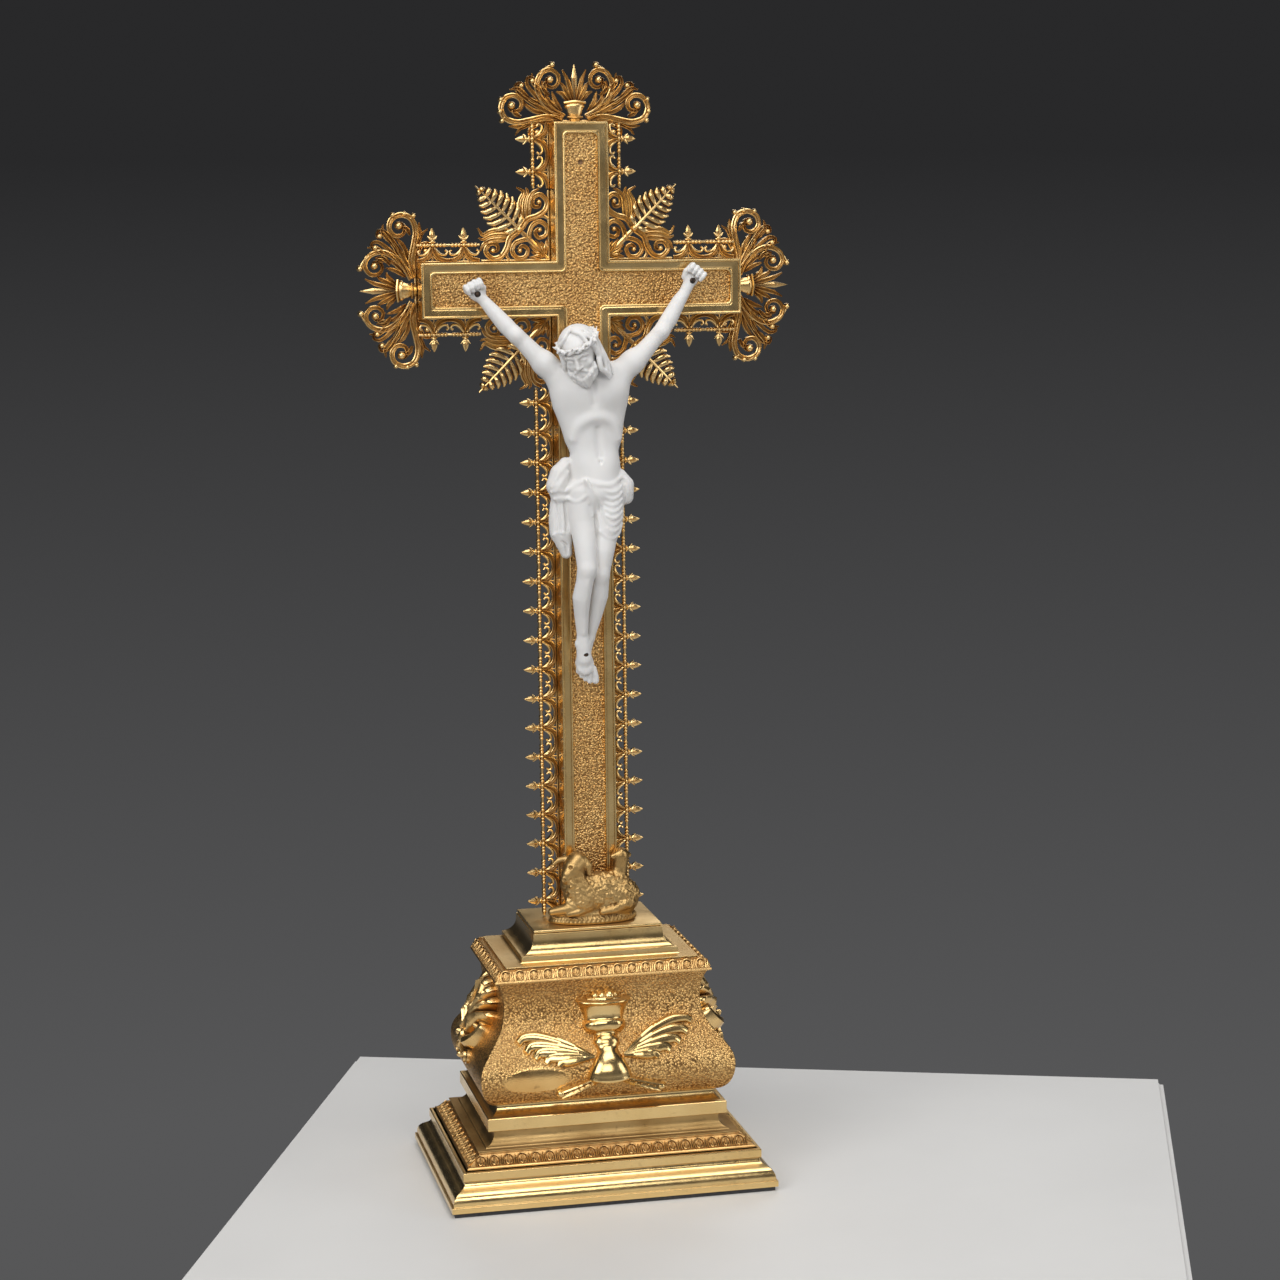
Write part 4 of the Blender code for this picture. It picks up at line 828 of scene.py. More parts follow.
def casket_in(z):
    """How far the casket draws in from its fullest plan at a height."""
    return np.interp(z, CASKET_SIDE[:, 1], CASKET_SIDE[:, 0])


def casket_lean(z):
    """The outward and upward parts of the casket's normal at a height."""
    slope = (casket_in(np.asarray(z) + 0.2) - casket_in(np.asarray(z) - 0.2)) / 0.4
    return 1 / np.sqrt(1 + slope ** 2), slope / np.sqrt(1 + slope ** 2)


def grains(u, v, size, seed):
    """Height, from 0 to 1, of rounded grains of about that size scattered over a sheet."""
    rng = np.random.default_rng(seed)
    shift = rng.random((64, 64, 3))
    cell_u, cell_v = np.floor(u / size).astype(int), np.floor(v / size).astype(int)
    high = np.zeros_like(u)
    for du in (-1, 0, 1):
        for dv in (-1, 0, 1):
            i, j = cell_u + du, cell_v + dv
            jitter = shift[i % 64, j % 64]
            away = np.hypot(u - (i + jitter[..., 0]) * size, v - (j + jitter[..., 1]) * size)
            radius = size * (0.45 + 0.3 * jitter[..., 2])
            high = np.maximum(high,
                              np.sqrt(np.maximum(0.0, 1 - (away / radius) ** 2))
                              * (0.6 + 0.4 * jitter[..., 2]))
    return high


def grid_faces(rows, columns):
    i, j = np.meshgrid(np.arange(rows - 1), np.arange(columns - 1), indexing="ij")
    a = (i * columns + j).ravel()
    return np.stack((a, a + 1, a + columns + 1, a + columns), axis=1)


print("Casket heights:", [round(float(z), 1) for z in (z_foot, z_bulge, z_waist, z_top)])

# %% [markdown]
# The front sheet has a bare, burnished patch low on its left, where the stipple stops. The other
# three are stippled all over. A Solidify modifier then gives each sheet the gauge of the brass.

# %% Make the casket sheets
STIPPLE = 0.72
STIPPLE_HIGH = 0.15
SHEET_STEP = 0.34


def bare_patch(u, z):
    """1 on the burnished patch of the front sheet, 0 elsewhere."""
    away = np.hypot((u + 31.0) / 13.0, (z - 52.0) / 5.2)
    return np.clip((1.15 - away) / 0.2, 0.0, 1.0)


def add_casket_sheet(node, axis, sign, seed):
    cross = 1 - axis
    length = np.concatenate(([0.0], np.cumsum(np.hypot(*np.diff(CASKET_SIDE, axis=0).T))))
    z = np.interp(np.arange(0.0, length[-1], SHEET_STEP), length, CASKET_SIDE[:, 1])
    z = np.append(z, z_top)
    half_u = CASKET_BULGE[axis] - casket_in(z)
    half_w = CASKET_BULGE[cross] - casket_in(z)
    columns = int(2 * CASKET_BULGE[axis] / SHEET_STEP)
    u = np.linspace(-1, 1, columns)[None, :] * half_u[:, None]
    height = np.repeat(z[:, None], columns, axis=1)
    along = np.repeat(np.interp(z, CASKET_SIDE[:, 1], length)[:, None], columns, axis=1)
    lift = grains(u, along, STIPPLE, seed) * STIPPLE_HIGH
    edge = np.clip(np.minimum(half_u[:, None] - np.abs(u),
                              np.minimum(height - z_foot, z_top - height)) / 0.8, 0, 1)
    lift *= edge
    if node == "casket_front":
        lift *= 1 - 0.9 * bare_patch(u, height)
    out, up = casket_lean(z)
    spot = np.zeros((*u.shape, 3))
    spot[..., axis] = u
    spot[..., cross] = sign * (half_w[:, None] + lift * out[:, None])
    spot[..., 2] = height + lift * up[:, None]
    piece = add_piece(node, spot.reshape(-1, 3), grid_faces(*u.shape), "gilt_grained", sharp=180.0)
    if node == "casket_front":
        patch = piece.data.attributes.new("burnished", "FLOAT", "POINT")
        patch.data.foreach_set("value", bare_patch(u, height).ravel())
    gauge = piece.modifiers.new("gauge", "SOLIDIFY")
    gauge.thickness = SHEET * MM
    gauge.offset = -1.0
    return piece


def face_outward(piece):
    """Turn an open sheet's faces away from the middle line of the casket."""
    mesh = piece.data
    poly = mesh.polygons[len(mesh.polygons) // 2]
    away = poly.center.x * poly.normal.x + poly.center.y * poly.normal.y
    if away < 0:
        mesh.flip_normals()


CASKET_SHEETS = (("casket_front", 0, -1), ("casket_back", 0, 1),
                 ("casket_left", 1, -1), ("casket_right", 1, 1))
for number, (node, axis, sign) in enumerate(CASKET_SHEETS):
    face_outward(add_casket_sheet(node, axis, sign, 40 + number))

# %% [markdown]
# ### Cup and wheat on the casket
# A polished cup stands in the middle of the front, half in relief, between two sprays of wheat
# whose stalks cross under its foot. The cup is a turned profile, cut in half and laid on the
# curved sheet. The sprays are rounded strokes laid on the same curve.

# %% Lay reliefs on the casket
def on_casket(relief, axis=0, sign=-1):
    """Points of a relief laid on one sheet, with u along the sheet and v as the height."""
    cross = 1 - axis
    u, v, w = relief.verts.T
    out, up = casket_lean(v)
    spot = np.zeros((len(u), 3))
    spot[:, axis] = u
    spot[:, cross] = sign * (CASKET_BULGE[cross] - casket_in(v) + w * out)
    spot[:, 2] = v + w * up
    return spot


CUP_FOOT_Z = 50.8
CUP_SECTION = (
    (0.0, 9.0), (0.7, 9.6), (1.6, 9.2), (3.4, 8.8), (6.0, 7.4), (8.6, 5.8), (10.6, 4.6),
    (12.0, 4.5), (13.0, 5.4), (14.4, 5.6), (15.8, 5.0), (16.6, 5.2), (17.4, 7.4), (19.0, 9.0),
    (20.8, 9.2), (21.8, 8.4), (22.6, 8.3), (25.0, 9.0), (28.0, 10.2), (30.0, 11.3), (30.8, 11.9),
    (31.4, 11.5), (31.6, 10.0),
)
CUP_BULK = 0.62


def add_cup():
    rows = through(CUP_SECTION, 0.5)
    lap = np.linspace(-math.pi / 2, math.pi / 2, 25)
    relief = Relief()
    verts = []
    for z, r in rows:
        flute = 1 + 0.03 * np.cos(9 * lap) * (16.5 < z < 20.5)
        ring = [(r * math.sin(a), CUP_FOOT_Z + z, CUP_BULK * r * math.cos(a) * f)
                for a, f in zip(lap, flute)]
        verts += ring + [(r, CUP_FOOT_Z + z, -0.6), (-r, CUP_FOOT_Z + z, -0.6)]
    m = len(lap) + 2
    faces = [(i * m + k, i * m + (k + 1) % m, (i + 1) * m + (k + 1) % m, (i + 1) * m + k)
             for i in range(len(rows) - 1) for k in range(m)]
    faces += [tuple(reversed(range(m))), tuple((len(rows) - 1) * m + k for k in range(m))]
    relief.put(np.array(verts), faces)
    lip = CUP_FOOT_Z + 31.2
    for u, r, rise in ((-3.6, 1.9, 3.0), (-0.8, 2.3, 3.8), (2.4, 2.9, 4.4), (4.8, 1.7, 2.8)):
        relief.bud(u, lip + 1.6, r, rise, 0.6, 18)
    relief.stroke([(-7.0, lip + 0.2), (0.0, lip + 0.7), (7.0, lip + 0.2)], (0.9, 1.5, 0.9),
                  (2.6, 5.0, 2.6))
    add_piece("chalice_mount", on_casket(relief), relief.faces, "gilt_polished")


add_cup()

# %% [markdown]
# Each spray is five long rounded leaves that fan out from beside the foot and bend down at the
# tip. The right spray stands higher than the left one. The stalks are short ribbed stumps.

# %% Make the sprays and the stalks
SPRAY_ROOT = (6.4, 59.6)
LEFT_TIPS = ((31.0, 4.4, 8.6), (28.2, 0.4, 5.4), (24.8, -2.0, 3.0), (20.2, -3.6, 1.0),
             (15.0, -4.4, -0.8))
RIGHT_TIPS = ((31.0, 9.4, 11.8), (28.6, 4.8, 8.0), (24.8, 1.4, 4.8), (20.2, -1.0, 2.2),
              (14.8, -2.8, -0.2))


def add_spray(node, side, tips):
    relief = Relief()
    for out, up, crest in tips:
        points = [(0.0, 0.0), (0.35 * out, 0.56 * crest), (0.68 * out, 0.94 * crest),
                  (0.9 * out, crest),
                  (out, 0.45 * up + 0.55 * crest)]
        path = [(side * (SPRAY_ROOT[0] + u), SPRAY_ROOT[1] + v) for u, v in points]
        relief.stroke(path, (0.8, 1.35, 1.9, 2.2, 1.5), (1.8, 2.6, 2.8, 2.6, 1.8), ROUND, 0.5)
    add_piece(node, on_casket(relief), relief.faces, "gilt_polished")


def add_stalk(node, side, end):
    relief = Relief()
    path = [(-side * 2.5, 54.5), (side * 4.0, 51.6), (side * 11.0, 48.8), (side * end[0], end[1])]
    relief.stroke(path, (0.9, 1.3, 1.45, 1.5), (1.4, 2.2, 2.4, 2.4), HOLLOW, 0.5)
    for u, v in through(path, 2.4)[2:]:
        relief.bud(u, v + side * 0.2, 0.55, 2.3)
    relief.bud(side * end[0], end[1], 1.5, 2.5, long=1.3)
    add_piece(node, on_casket(relief), relief.faces, "gilt_polished")


add_spray("wheat_left", -1, LEFT_TIPS)
add_spray("wheat_right", 1, RIGHT_TIPS)
add_stalk("stalk_left", -1, (20.6, 45.8))
add_stalk("stalk_right", 1, (22.2, 45.9))

# %% [markdown]
# ### Side mounts
# Each side carries a bold cast leaf: a fan of rounded lobes over a knob, with a scroll on either
# hand and a small boss under the cornice. It stands well proud of the sheet, so its strokes rise
# high in the middle.

# %% Make the side mounts
SIDE_LOBES = ((2.6, 86.5, 4.2), (7.0, 84.0, 4.8), (10.8, 79.5, 5.0), (13.0, 73.5, 4.6))


def draw_side_leaf(half):
    for number, (u, v, rise) in enumerate(SIDE_LOBES):
        start = (0.9 + 0.4 * number, 63.0 - 0.6 * number)
        middle = (0.52 * u + 1.2, start[1] + 0.62 * (v - start[1]))
        half.stroke([start, middle, (u, v), (u + 1.6, v - 1.0)], (1.1, 2.2, 2.5, 1.2),
                    (5.0, 10.0, 1.9 * rise, 4.5), ROUND, 1.2)
    half.stroke([(2.0, 60.0), (7.5, 60.2), (11.6, 62.6), (12.6, 66.6), (9.8, 68.4), (8.0, 66.2),
                 (9.4, 64.8)],
                (1.5, 2.0, 1.8, 1.4, 1.0), (5.2, 6.4, 5.2, 5.0, 5.2), ROUND, 1.2)
    half.bud(9.6, 65.8, 1.5, 6.4, 1.2)
    half.stroke([(1.2, 58.0), (5.0, 55.6), (8.6, 56.8), (9.4, 54.0), (6.8, 52.6)],
                (1.3, 1.6, 1.2, 0.9), (4.0, 3.6, 3.0, 2.4), VEINED, 1.2)


def add_side_mount(node, sign):
    relief = Relief()
    relief.both(draw_side_leaf)
    relief.stroke([(0.0, 62.0), (0.0, 74.0), (0.0, 88.0)], (1.6, 2.8, 1.0), (8.0, 11.0, 7.0),
                  VEINED, 1.2)
    relief.bud(0.0, 60.6, 3.4, 6.6, 1.2, 18)
    relief.bud(0.0, 60.6, 1.6, 8.0, 1.2, 14)
    relief.bud(0.0, 88.6, 2.0, 4.2, 1.2, 14)
    relief.bud(0.0, 54.2, 1.8, 4.0, 1.2, 14)
    add_piece(node, on_casket(relief, 1, sign), relief.faces, "gilt_pierced")


add_side_mount("side_mount_left", -1)
add_side_mount("side_mount_right", 1)

# %% [markdown]
# ## Border and panel of the cross
# A polished border frames the whole cross: a bright rim, a flat band and a fine bead round
# the sunk panel. Its section goes round the twelve corners of the cross. The corners of each
# ring are small arcs, tight at the rim and rounder at the bead, as on the real one.

# %% Rings round the cross
border_low, border_high = span("cross_border")
BAR_HALF = 11.25
arm_half = border_high[0]
z_cross, z_head = border_low[2], border_high[2]
z_arm = sum(corner[2] for corner in span("palmette_left")) / 2
y_face = border_low[1]
BORDER_W = 4.6


def cross_corners(inset):
    bar, arm = BAR_HALF - inset, arm_half - inset
    low, high = z_cross + inset, z_head - inset
    under, over = z_arm - bar, z_arm + bar
    return [(-bar, low), (bar, low), (bar, under), (arm, under), (arm, over), (bar, over),
            (bar, high), (-bar, high), (-bar, over), (-arm, over), (-arm, under), (-bar, under)]


def cross_ring(inset, radius, steps=5):
    """The outline of the cross at an inset, with every corner turned by an arc."""
    corners = np.array(cross_corners(inset))
    ring = []
    for before, corner, after in zip(np.roll(corners, 1, axis=0), corners,
                                     np.roll(corners, -1, axis=0)):
        a = (corner - before) / np.linalg.norm(corner - before)
        b = (after - corner) / np.linalg.norm(after - corner)
        for angle in np.linspace(0, math.pi / 2, steps):
            ring.append(corner + radius * (b - a - b * math.cos(angle) + a * math.sin(angle)))
    return np.array(ring)


def add_border():
    back = border_high[1]
    y = y_face
    section = np.vstack((
        [(0.35, back, 0.2), (0.0, back - 0.3, 0.2), (0.0, y + 0.5, 0.2)],
        np.column_stack((bend((0.0, y + 0.4), (0.05, y - 0.05), (0.75, y - 0.05), (0.9, y + 0.35),
                              7), np.full(7, 0.3))),
        np.column_stack((bend((1.0, y + 0.62), (1.8, y + 0.66), (2.7, y + 0.70), (3.5, y + 0.74),
                              5), np.linspace(0.4, 1.4, 5))),
        np.column_stack((bend((3.6, y + 0.8), (3.65, y + 0.25), (4.4, y + 0.25), (4.55, y + 0.9),
                              7), np.linspace(1.6, 2.0, 7))),
        [(4.6, y + 1.95, 2.0), (4.6, y + 2.6, 2.0), (1.0, y + 2.6, 0.4), (1.0, back, 0.4)],
    ))
    rings = [cross_ring(inset, radius) for inset, _, radius in section]
    m = len(rings[0])
    verts = [(x, depth, z) for ring, (_, depth, _) in zip(rings, section) for x, z in ring]
    n = len(section)
    faces = [(i * m + k, i * m + (k + 1) % m, (i + 1) % n * m + (k + 1) % m, (i + 1) % n * m + k)
             for i in range(n) for k in range(m)]
    add_piece("cross_border", verts, faces, "gilt_polished", sharp=45.0)


add_border()
print("Arms at height:", round(float(z_arm), 1))

# %% [markdown]
# The panel is covered with coarse rounded grains about a millimetre across. They are modelled on
# a fine grid that is kept only inside the cross. A little dark hole near the top once held a pin.

# %% Make the granulated panel
GRAIN = 0.72
GRAIN_HIGH = 0.40
PANEL_STEP = 0.22
PIN_HOLE = (0.0, 428.1, 1.0)


def add_panel():
    y_panel = span("cross_panel")[0][1]
    inset = BORDER_W - 0.5
    bar, arm = BAR_HALF - inset, arm_half - inset
    x = np.arange(-arm, arm + PANEL_STEP, PANEL_STEP)
    z = np.arange(z_cross + inset, z_head - inset + PANEL_STEP, PANEL_STEP)
    u, v = np.meshgrid(x, z, indexing="ij")
    lift = grains(u, v, GRAIN, 7) * GRAIN_HIGH
    lift = lift + grains(u + 50, v, GRAIN * 0.55, 8) * GRAIN_HIGH * 0.35
    hole = np.hypot(u - PIN_HOLE[0], v - PIN_HOLE[1]) < PIN_HOLE[2]
    lift[hole] = -2.4
    inside = (np.abs(u) <= bar) | (np.abs(v - z_arm) <= bar)
    quads = grid_faces(*u.shape)
    quads = quads[inside.ravel()[quads].all(axis=1)]
    used = np.unique(quads)
    number = np.full(u.size, -1)
    number[used] = np.arange(len(used))
    verts = np.stack((u.ravel(), y_panel - lift.ravel() + 0.25, v.ravel()), axis=1)[used]
    piece = add_piece("cross_panel", verts, number[quads], "gilt_grained", sharp=180.0)
    if piece.data.polygons[0].normal.y > 0:
        piece.data.flip_normals()
    gauge = piece.modifiers.new("gauge", "SOLIDIFY")
    gauge.thickness = SHEET * MM
    gauge.offset = -1.0


add_panel()

# %% [markdown]
# ## Galleries
# Pierced galleries run along every edge. A beaded rail stands off the bar. At each knot an arrow
# points outward, and curved leaves sweep back to the root strip and curl there. One repeat is
# drawn once. The strip's own CAD length says how many fit.

# %% Draw one repeat of the gallery
RAIL_V = 7.0
TIP_V = 14.0
GALLERY_PITCH = 12.4


def draw_half_repeat(half):
    reach = GALLERY_PITCH / 2
    half.stroke([(0.4, 6.4), (0.9, 4.0), (2.4, 2.0), (4.4, 1.1), (reach, 0.9)],
                (0.6, 0.85, 0.85, 0.7), 1.3, HOLLOW)
    half.stroke([(0.7, 6.2), (1.9, 4.3), (3.6, 3.1), (5.2, 3.2), (5.7, 4.4), (4.9, 5.0)],
                (0.5, 0.7, 0.62, 0.55, 0.5), 1.1)
    half.stroke([(0.1, 4.4), (0.8, 2.4), (2.0, 0.9)], (0.3, 0.55, 0.25), 0.9, VEINED)
    for u in (1.9, 3.2, 4.6):
        half.bud(u, RAIL_V, 0.95, 1.3, sides=10)
    half.stroke([(0.2, 9.4), (1.0, 9.8), (1.9, 10.8)], (0.6, 0.55, 0.15), (1.1, 0.9, 0.4))
    half.stroke([(0.3, 8.3), (1.2, 8.1)], (0.55, 0.3), (1.1, 0.6))


def gallery_repeat():
    unit = Relief()
    unit.both(draw_half_repeat)
    reach = GALLERY_PITCH / 2
    unit.stroke([(-reach, RAIL_V), (0.0, RAIL_V), (reach, RAIL_V)], 0.62, 0.9, gap=3.0)
    unit.stroke([(-reach, 0.35), (0.0, 0.35), (reach, 0.35)], 0.45, 0.45, gap=3.0)
    unit.stroke([(0.0, 0.6), (0.0, 3.0), (0.0, 6.6)], (0.25, 0.45, 0.7), (0.6, 0.8, 1.0), VEINED)
    unit.bud(0.0, RAIL_V, 1.0, 1.5)
    unit.stroke([(0.0, 7.6), (0.0, 9.4)], 0.5, 0.9)
    unit.bud(0.0, 8.6, 0.85, 1.35, long=1.25)
    unit.stroke([(0.0, 9.2), (0.0, 10.4), (0.0, 12.2), (0.0, TIP_V)], (0.55, 1.35, 0.85, 0.15),
                (1.0, 1.5, 1.1, 0.4), VEINED)
    return unit


print("Faces in one repeat:", len(gallery_repeat().faces))

# %% [markdown]
# ### Corner leaves
# In each inner corner sits a diagonal fern. Scrolls roll out to both sides along the bars, with
# gouged acanthus leaves hooked over them, and small curls fill the corner. It is symmetrical
# about its diagonal, so half is drawn and then copied with its two directions swapped.

# %% Draw the corner leaf
def draw_half_corner(half):
    half.stroke([(13.4, 12.4), (17.0, 9.6), (18.4, 5.6), (20.8, 2.2), (24.4, 1.4), (27.2, 4.2),
                 (25.6, 7.2), (22.6, 7.0), (22.2, 4.8), (24.0, 4.2)], (1.3, 1.2, 1.05, 0.95, 0.7),
                (1.7, 1.5, 1.3, 1.3, 1.5), HOLLOW)
    half.bud(24.2, 4.6, 1.2, 1.8)
    for path in ([(15.6, 11.8), (20.0, 12.8), (24.8, 12.4), (28.2, 11.0), (30.2, 13.8)],
                 [(16.6, 10.4), (21.0, 10.8), (25.0, 10.4), (28.0, 9.2), (30.0, 9.8)],
                 [(17.6, 9.0), (21.2, 9.0), (25.2, 8.6), (28.2, 6.8), (29.4, 4.4)]):
        half.stroke(path, (0.7, 1.15, 1.05, 0.9, 0.3), (1.2, 1.5, 1.3, 1.1, 0.6), HOLLOW)
    half.stroke([(9.4, 9.0), (11.6, 8.8), (14.8, 7.4), (16.2, 4.4), (14.2, 1.6), (10.8, 1.8),
                 (9.6, 4.8), (11.8, 6.4), (13.4, 4.8)],
                (0.95, 0.95, 0.85, 0.7), (1.3, 1.2, 1.1, 1.2), HOLLOW)
    half.bud(12.8, 4.4, 1.1, 1.7)
    for tip in ((8.8, 1.5), (8.0, 3.9), (8.6, 6.4)):
        half.stroke([(2.6, 2.0), (5.8, 0.5 * (2.0 + tip[1])), tip], (0.5, 1.1, 0.25),
                    (0.9, 1.3, 0.5), HOLLOW)
    half.stroke([(17.4, 0.8), (18.4, 2.8), (17.6, 4.6)], (0.6, 0.75, 0.25), 1.0, VEINED)
    half.stroke([(0.6, 0.5), (15.0, 0.5), (29.0, 0.5)], 0.55, 0.5, gap=4.0)
    for s, long in zip(np.linspace(19.6, 40.6, 8), (5.6, 7.4, 7.6, 7.0, 6.0, 4.7, 3.2, 1.7)):
        lobe = np.array(((s, 0.2), (s + 0.12 * long, 0.42 * long), (s + 0.3 * long, 0.80 * long),
                         (s + 0.55 * long, long)))
        half.stroke(np.column_stack((lobe.sum(axis=1), lobe[:, 0] - lobe[:, 1])) / math.sqrt(2),
                    (0.7, 1.2, 1.3, 0.4), (1.3, 1.8, 1.7, 0.8))


def corner_leaf():
    leaf = Relief()
    half = Relief()
    draw_half_corner(half)
    leaf.copy_of(half)
    leaf.put(half.verts[:, (1, 0, 2)], half.faces)
    leaf.stroke([(1.0, 1.0), (8.0, 8.0), (14.0, 14.0)], (0.5, 1.1, 0.8), (0.9, 1.6, 1.4), VEINED)
    leaf.stroke([(13.0, 13.0), (22.0, 22.0), (31.0, 31.0)], (1.0, 0.8, 0.3), (1.8, 1.7, 0.8))
    leaf.bud(13.0, 13.0, 1.6, 2.1, 0.45, 14)
    return leaf


print("Faces in one corner leaf:", len(corner_leaf().faces))

# %% [markdown]
# ### Palmettes
# The three free ends of the cross carry palmettes: a spear with two pairs of leaves over an oval
# boss, and on each side a tall scroll, two curled tips and a broad low scroll with buds, with a
# leaf drooping past the end of the bar. The scrolls are long strokes that thin as they roll up.

# %% Draw the palmette
SCROLLS = (
    ([(4.6, 2.4), (9.4, 5.2), (14.0, 9.8), (15.8, 15.0), (14.0, 19.8), (10.2, 21.4), (7.0, 19.4),
      (6.8, 16.2), (9.0, 14.2), (11.6, 15.2), (11.6, 17.6), (10.0, 17.9)],
     (1.0, 1.05, 0.95, 0.75, 0.5)),
    ([(5.0, 2.0), (11.0, 6.0), (16.6, 11.2), (19.8, 15.4), (19.4, 18.2), (17.2, 18.0),
      (17.0, 16.2)], (0.9, 0.9, 0.75, 0.45)),
    ([(5.2, 1.8), (13.0, 5.2), (19.6, 9.2), (23.8, 12.6), (24.4, 15.4), (22.2, 16.0), (21.6, 14.4)],
     (0.9, 0.9, 0.75, 0.45)),
    ([(5.2, 1.4), (12.0, 2.4), (18.0, 1.2), (24.0, 0.2), (29.0, 1.8), (30.8, 6.0), (29.0, 10.0),
      (25.2, 11.0), (22.4, 8.8), (22.8, 5.6), (25.8, 4.6), (27.4, 6.4), (26.2, 7.8)],
     (0.95, 1.1, 1.05, 0.9, 0.5)),
    ([(9.0, 0.4), (14.6, -0.2), (18.6, -2.4), (18.6, -5.4), (15.8, -6.2), (14.6, -4.2),
      (16.2, -3.2)], (0.8, 0.9, 0.75, 0.45)),
)
CURL_BUDS = ((10.2, 17.4, 1.2), (17.6, 16.9, 0.95), (22.2, 15.0, 0.95), (26.4, 7.0, 1.3),
             (16.1, -3.9, 1.0),
             (9.2, 23.4, 1.0), (31.2, 4.6, 0.85), (30.4, 0.8, 0.85), (30.8, 9.4, 0.8))
PALM_LEAVES = (
    [(0.7, 8.6), (2.0, 13.6), (3.4, 18.2), (5.0, 21.4)],
    [(1.2, 8.2), (3.4, 12.0), (5.0, 15.2), (6.4, 16.4)],
    [(5.6, 4.6), (8.0, 8.4), (9.4, 12.6)],
    [(7.4, 5.4), (10.8, 8.6), (12.8, 12.6)],
    [(12.0, 3.6), (17.0, 4.8), (20.6, 7.4), (21.4, 9.4)],
    [(9.6, 6.4), (13.4, 9.4), (15.0, 12.4)],
    [(3.0, 9.0), (5.2, 11.6), (7.6, 12.6)],
    [(13.0, 12.0), (17.2, 16.0), (17.6, 20.0)],
    [(18.6, 9.4), (23.4, 13.6), (27.0, 13.4)],
    [(22.6, 2.4), (25.4, 4.2), (25.2, 6.6)],
    [(12.2, 12.6), (12.4, 15.6), (10.4, 16.6)],
    [(14.0, 7.6), (17.6, 8.8), (20.4, 11.2)],
    [(10.6, 11.0), (13.2, 13.6), (13.4, 17.0)],
    [(11.6, 0.2), (18.4, -0.6), (22.6, -2.2), (25.0, -5.0)],
    [(19.0, 0.2), (23.6, -1.4), (27.6, -1.4)],
)


def draw_half_palmette(half):
    for path, width in SCROLLS:
        half.stroke(path, 1.12 * np.array(width), (1.6, 1.6, 1.4, 1.3, 1.5), HOLLOW)
    for u, v, r in CURL_BUDS:
        half.bud(u, v, 1.35 * r, 1.5 * r + 0.4)
    for path in PALM_LEAVES:
        half.stroke(path, (0.5, 1.0, 0.9, 0.25), (1.3, 1.7, 1.4, 0.5), HOLLOW)
    half.stroke([(14.4, 19.4), (12.0, 22.0), (9.4, 23.4)], (0.5, 0.45, 0.35), 0.9)
    half.stroke([(29.2, 2.2), (30.4, 0.8)], 0.4, 0.9)
    half.stroke([(6.8, 0.5), (9.0, 0.5), (11.0, 0.5)], 0.7, 0.8, gap=2.0)


def palmette():
    palm = Relief()
    palm.both(draw_half_palmette)
    palm.stroke([(0.0, 8.0), (0.0, 13.0), (0.0, 18.6), (0.0, 23.5)], (0.7, 0.9, 1.35, 0.1),
                (1.3, 1.5, 1.7, 0.4), VEINED)
    palm.bud(0.0, 6.6, 1.9, 2.6, 0.45, 22, long=2.3)
    palm.stroke([(-4.6, 8.0), (0.0, 8.5), (4.6, 8.0)], (0.6, 0.8, 0.6), (1.6, 2.6, 1.6))
    palm.stroke([(0.0, 6.4), (0.0, 3.6), (0.0, 0.4)], (3.6, 2.8, 2.2), (2.6, 2.4, 1.8))
    palm.stroke([(-3.2, 2.2), (0.0, 2.0), (3.2, 2.2)], (0.5, 0.7, 0.5), (2.0, 2.9, 2.0))
    palm.stroke([(-7.0, 0.5), (0.0, 0.5), (7.0, 0.5)], 0.7, 0.7, gap=2.0)
    return palm


print("Faces in one palmette:", len(palmette().faces))

# %% [markdown]
# ### Setting the pierced work
# A drawing becomes a piece by giving it an origin, a direction along the bar and a direction
# outward. The depth comes from the CAD strip, so each piece lies in the plane it is fixed in.

# %% Place galleries, corner leaves and palmettes
STROKE_BACK = 0.45
UP, DOWN, LEFT, RIGHT = np.array(((0, 0, 1), (0, 0, -1), (-1, 0, 0), (1, 0, 0)), float)


def set_drawing(node, drawing, origin, along, out):
    """Set a drawing on an edge of the cross, its face to the front."""
    y_back = span(node)[1][1]
    u, v, w = drawing.verts.T
    spot = np.array((origin[0], y_back - STROKE_BACK, origin[1]))
    spot = spot + u[:, None] * along + v[:, None] * out
    spot[:, 1] -= w
    add_piece(node, spot, drawing.faces, "gilt_pierced")


def add_gallery(node, axis, edge, out):
    """A gallery along one edge: as many repeats as fit its length, a little stretched to fill it."""
    low, high = span(node)
    start, end = low[axis], high[axis]
    count = round((end - start) / GALLERY_PITCH)
    pitch = (end - start) / count
    unit = gallery_repeat()
    strip = Relief()
    for number in range(count):
        strip.copy_of(unit, du=(number + 0.5) * GALLERY_PITCH)
    strip.verts[:, 0] *= pitch / GALLERY_PITCH
    along = UP if axis == 2 else RIGHT
    origin = (edge, start) if axis == 2 else (start, edge)
    set_drawing(node, strip, origin, along, out)


